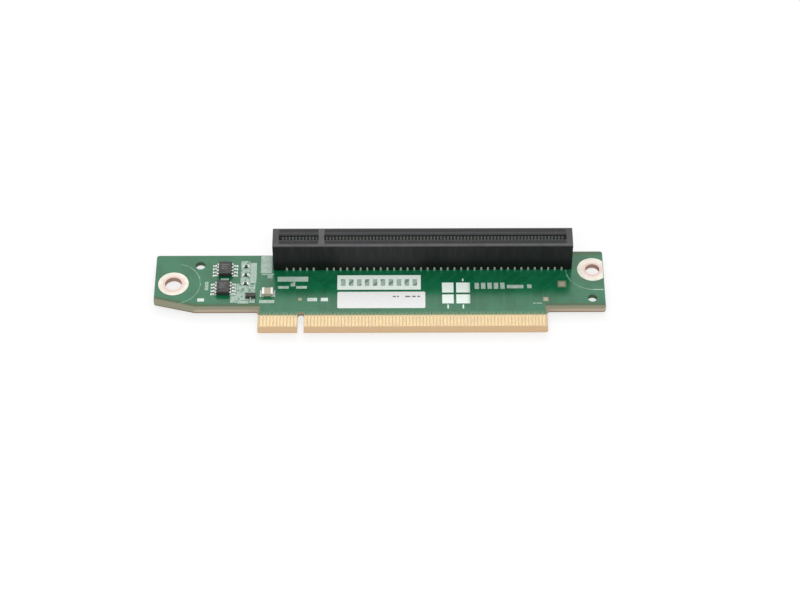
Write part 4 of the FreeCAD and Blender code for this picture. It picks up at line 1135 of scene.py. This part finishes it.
class RISERCARD_OT_print_marks(bpy.types.Operator):
    """Ink the screen print, lay the paper label and add the thin print round the parts"""

    bl_idname = "riser_card.print_marks"
    bl_label = "Print marks"

    def execute(self, context):
        sizes, colours, _ = settings()
        wear(ink_finish(colours), "silkscreen_marks")
        wear(thin_ink_finish("arc_ink", colours, colours.ink_faint, 0.6), "silkscreen_arcs")
        wear(paper_finish(colours), "identity_label")
        self.print_label(sizes, dark_ink_finish(colours))
        self.fill_title(sizes, thin_ink_finish("title_ink", colours, colours.ink_thin, 0.0))
        self.print_fields(sizes, thin_ink_finish("thin_ink", colours, colours.ink_thin, 0.7))
        return {"FINISHED"}

    def print_label(self, sizes, ink):
        """Plain dark bars near the label's upper right."""
        mesh = bmesh.new()
        wide = LABEL_HIGH.x - LABEL_LOW.x
        tall = LABEL_HIGH.y - LABEL_LOW.y
        y = LABEL_LOW.y + tall * LABEL_BAR_PLACE
        for start, share in LABEL_BARS:
            corner = Vector((LABEL_LOW.x + wide * start, y, LABEL_HIGH.z))
            add_bar(mesh, corner, Vector((wide * share, sizes.label_bar)), sizes.print_rise)
        new_piece("label_print", mesh, ink)

    def fill_title(self, sizes, ink):
        """Grey ink in the openings of the title box."""
        low, high = max(loose_boxes("silkscreen_marks"), key=lambda box: box[1].x - box[0].x)
        first = low.x + sizes.title_margin
        last = high.x - sizes.title_margin - sizes.title_opening
        step = (last - first) / (sizes.title_openings - 1)
        bottom = (low.y + high.y - sizes.title_height) / 2
        size = Vector((sizes.title_opening, sizes.title_height))
        mesh = bmesh.new()
        for number in range(sizes.title_openings):
            corner = Vector((first + number * step, bottom))
            add_field(mesh, corner, corner + size, (), sizes.haze_rise)
        new_piece("title_fill", mesh, ink)

    def pointer(self, mesh, spot, sizes):
        """A small triangle printed beside the first chip."""
        seat = Matrix.Translation((spot.x, spot.y, FACE)) @ Matrix.Rotation(math.pi / 6, 4, "Z")
        corners = bmesh.ops.create_circle(
            mesh, cap_ends=True, radius=sizes.pointer_radius, segments=3, matrix=seat)["verts"]
        sheet = list(corners[0].link_faces)
        border = bmesh.ops.inset_region(mesh, faces=sheet, thickness=sizes.pointer_line)
        bmesh.ops.delete(mesh, geom=sheet, context="FACES")
        raise_faces(mesh, border["faces"], (0, 0, sizes.haze_rise))

    def print_fields(self, sizes, ink):
        """Thin fields beside the chips and round the resistors and the transistor."""
        nodes = (
            "component_pads", "chip_1_leads", "chip_2_leads", "resistor_bodies",
            "transistor_body", "transistor_leads", "capacitor_body", "silkscreen_marks")
        room = Vector((sizes.print_room, sizes.print_room))
        taken = [
            (low.to_2d() - room, high.to_2d() + room)
            for node in nodes for low, high in loose_boxes(node)]
        mesh = bmesh.new()
        self.pointer(mesh, Vector(POINTER_SPOT) * MM, sizes)
        for start, end in THIN_FIELDS:
            low = Vector(start) * MM
            high = Vector(end) * MM
            gaps = [
                (gap_low, gap_high) for gap_low, gap_high in taken
                if gap_low.x < high.x and gap_high.x > low.x
                and gap_low.y < high.y and gap_high.y > low.y]
            add_field(mesh, low, high, gaps, sizes.haze_rise)
        new_piece("thin_print", mesh, ink)


class RISERCARD_OT_set_studio(bpy.types.Operator):
    """Set the floor, the lamps, the surround and the camera"""

    bl_idname = "riser_card.set_studio"
    bl_label = "Set studio"

    def execute(self, context):
        _, colours, studio = settings()
        scene = context.scene
        scene.view_settings.view_transform = "Standard"
        self.lay_floor(colours, studio)
        self.hang_lamps(studio)
        self.fill_surround(scene, studio)
        self.place_camera(scene, studio)
        return {"FINISHED"}

    def lay_floor(self, colours, studio):
        """A wide flat floor level with the card's lowest point."""
        mesh = bmesh.new()
        bmesh.ops.create_grid(mesh, x_segments=2, y_segments=2, size=studio.floor_reach)
        bmesh.ops.translate(mesh, vec=(0, 0, CAD_BOX[0].z), verts=mesh.verts)
        mesh_object("studio_floor", mesh, floor_finish(colours, studio))

    def hang_lamps(self, studio):
        """A soft lamp behind the card, which the board mirrors, and a weak one in front."""
        rear = math.pi - studio.softbox_elevation
        self.hang_lamp(studio, "softbox", rear, studio.softbox_power)
        self.hang_lamp(studio, "front_lamp", studio.elevation, studio.front_power)

    def hang_lamp(self, studio, name, elevation, power):
        """One lamp at its distance and elevation, measured from straight in front."""
        lamp = bpy.data.lights.new(name, "AREA")
        lamp.shape = "RECTANGLE"
        lamp.size = studio.softbox_width
        lamp.size_y = studio.softbox_height
        lamp.energy = power
        holder = new_object(name, lamp)
        way = Vector((0, -math.cos(elevation), math.sin(elevation)))
        turn = way.to_track_quat("Z", "Y").to_matrix().to_4x4()
        holder.matrix_world = Matrix.Translation(way * studio.softbox_distance) @ turn

    def fill_surround(self, scene, studio):
        """A plain surround that lights from all sides and looks white to the camera."""
        world = bpy.data.worlds.new("surround")
        world.use_nodes = True
        scene.world = world
        background = world.node_tree.nodes["Background"]
        background.inputs["Color"].default_value = (1, 1, 1, 1)
        level = seen_directly(world.node_tree).spread(studio.world_level, 1.0)
        world.node_tree.links.new(level.socket, background.inputs["Strength"])

    def place_camera(self, scene, studio):
        """The camera at its measured place, looking down at the face."""
        elevation, azimuth, roll = studio.elevation, studio.azimuth, studio.roll
        back = Vector((
            math.sin(azimuth) * math.cos(elevation), -math.cos(azimuth) * math.cos(elevation),
            math.sin(elevation)))
        right = Vector((math.cos(azimuth), math.sin(azimuth), 0))
        up = back.cross(right)
        turned_right = right * math.cos(roll) + up * math.sin(roll)
        turned_up = up * math.cos(roll) - right * math.sin(roll)
        axes = Matrix((turned_right, turned_up, back)).transposed()
        camera = bpy.data.cameras.new("camera")
        camera.lens = studio.lens
        camera.shift_x = studio.shift_x
        camera.shift_y = studio.shift_y
        holder = new_object("camera", camera)
        spot = Vector(studio.target) + back * studio.distance
        holder.matrix_world = Matrix.Translation(spot) @ axes.to_4x4()
        scene.camera = holder


class RISERCARD_PT_finish(bpy.types.Panel):
    """Sizes, colours and steps of the riser card's finish"""

    bl_idname = "RISERCARD_PT_finish"
    bl_label = "Riser card"
    bl_space_type = "VIEW_3D"
    bl_region_type = "UI"
    bl_category = "Riser card"

    def draw(self, context):
        for group in settings():
            box = self.layout.box()
            for name in group.bl_rna.properties.keys():
                if name not in ("rna_type", "name"):
                    box.prop(group, name)
        for operator in OPERATORS:
            self.layout.operator(operator.bl_idname)


GROUPS = {
    "riser_card_sizes": RiserCardSizes,
    "riser_card_colours": RiserCardColours,
    "riser_card_studio": RiserCardStudio,
}
OPERATORS = (
    RISERCARD_OT_finish_board, RISERCARD_OT_run_copper, RISERCARD_OT_plate_metal,
    RISERCARD_OT_mould_slot, RISERCARD_OT_solder_pins, RISERCARD_OT_dress_chips,
    RISERCARD_OT_dress_small_parts, RISERCARD_OT_print_marks, RISERCARD_OT_set_studio,
)
CLASSES = (*GROUPS.values(), *OPERATORS, RISERCARD_PT_finish)


def register():
    """Make the settings, operators and panel known to Blender."""
    for item in CLASSES:
        bpy.utils.register_class(item)
    for name, group in GROUPS.items():
        setattr(bpy.types.Scene, name, PointerProperty(type=group))


def unregister():
    """Take the settings, operators and panel out of Blender."""
    for name in GROUPS:
        delattr(bpy.types.Scene, name)
    for item in reversed(CLASSES):
        bpy.utils.unregister_class(item)


def main():
    """Dress the card and set the studio."""
    register()
    bpy.ops.riser_card.finish_board()
    bpy.ops.riser_card.run_copper()
    bpy.ops.riser_card.plate_metal()
    bpy.ops.riser_card.mould_slot()
    bpy.ops.riser_card.solder_pins()
    bpy.ops.riser_card.dress_chips()
    bpy.ops.riser_card.dress_small_parts()
    bpy.ops.riser_card.print_marks()
    bpy.ops.riser_card.set_studio()


if __name__ == "__main__":
    main()
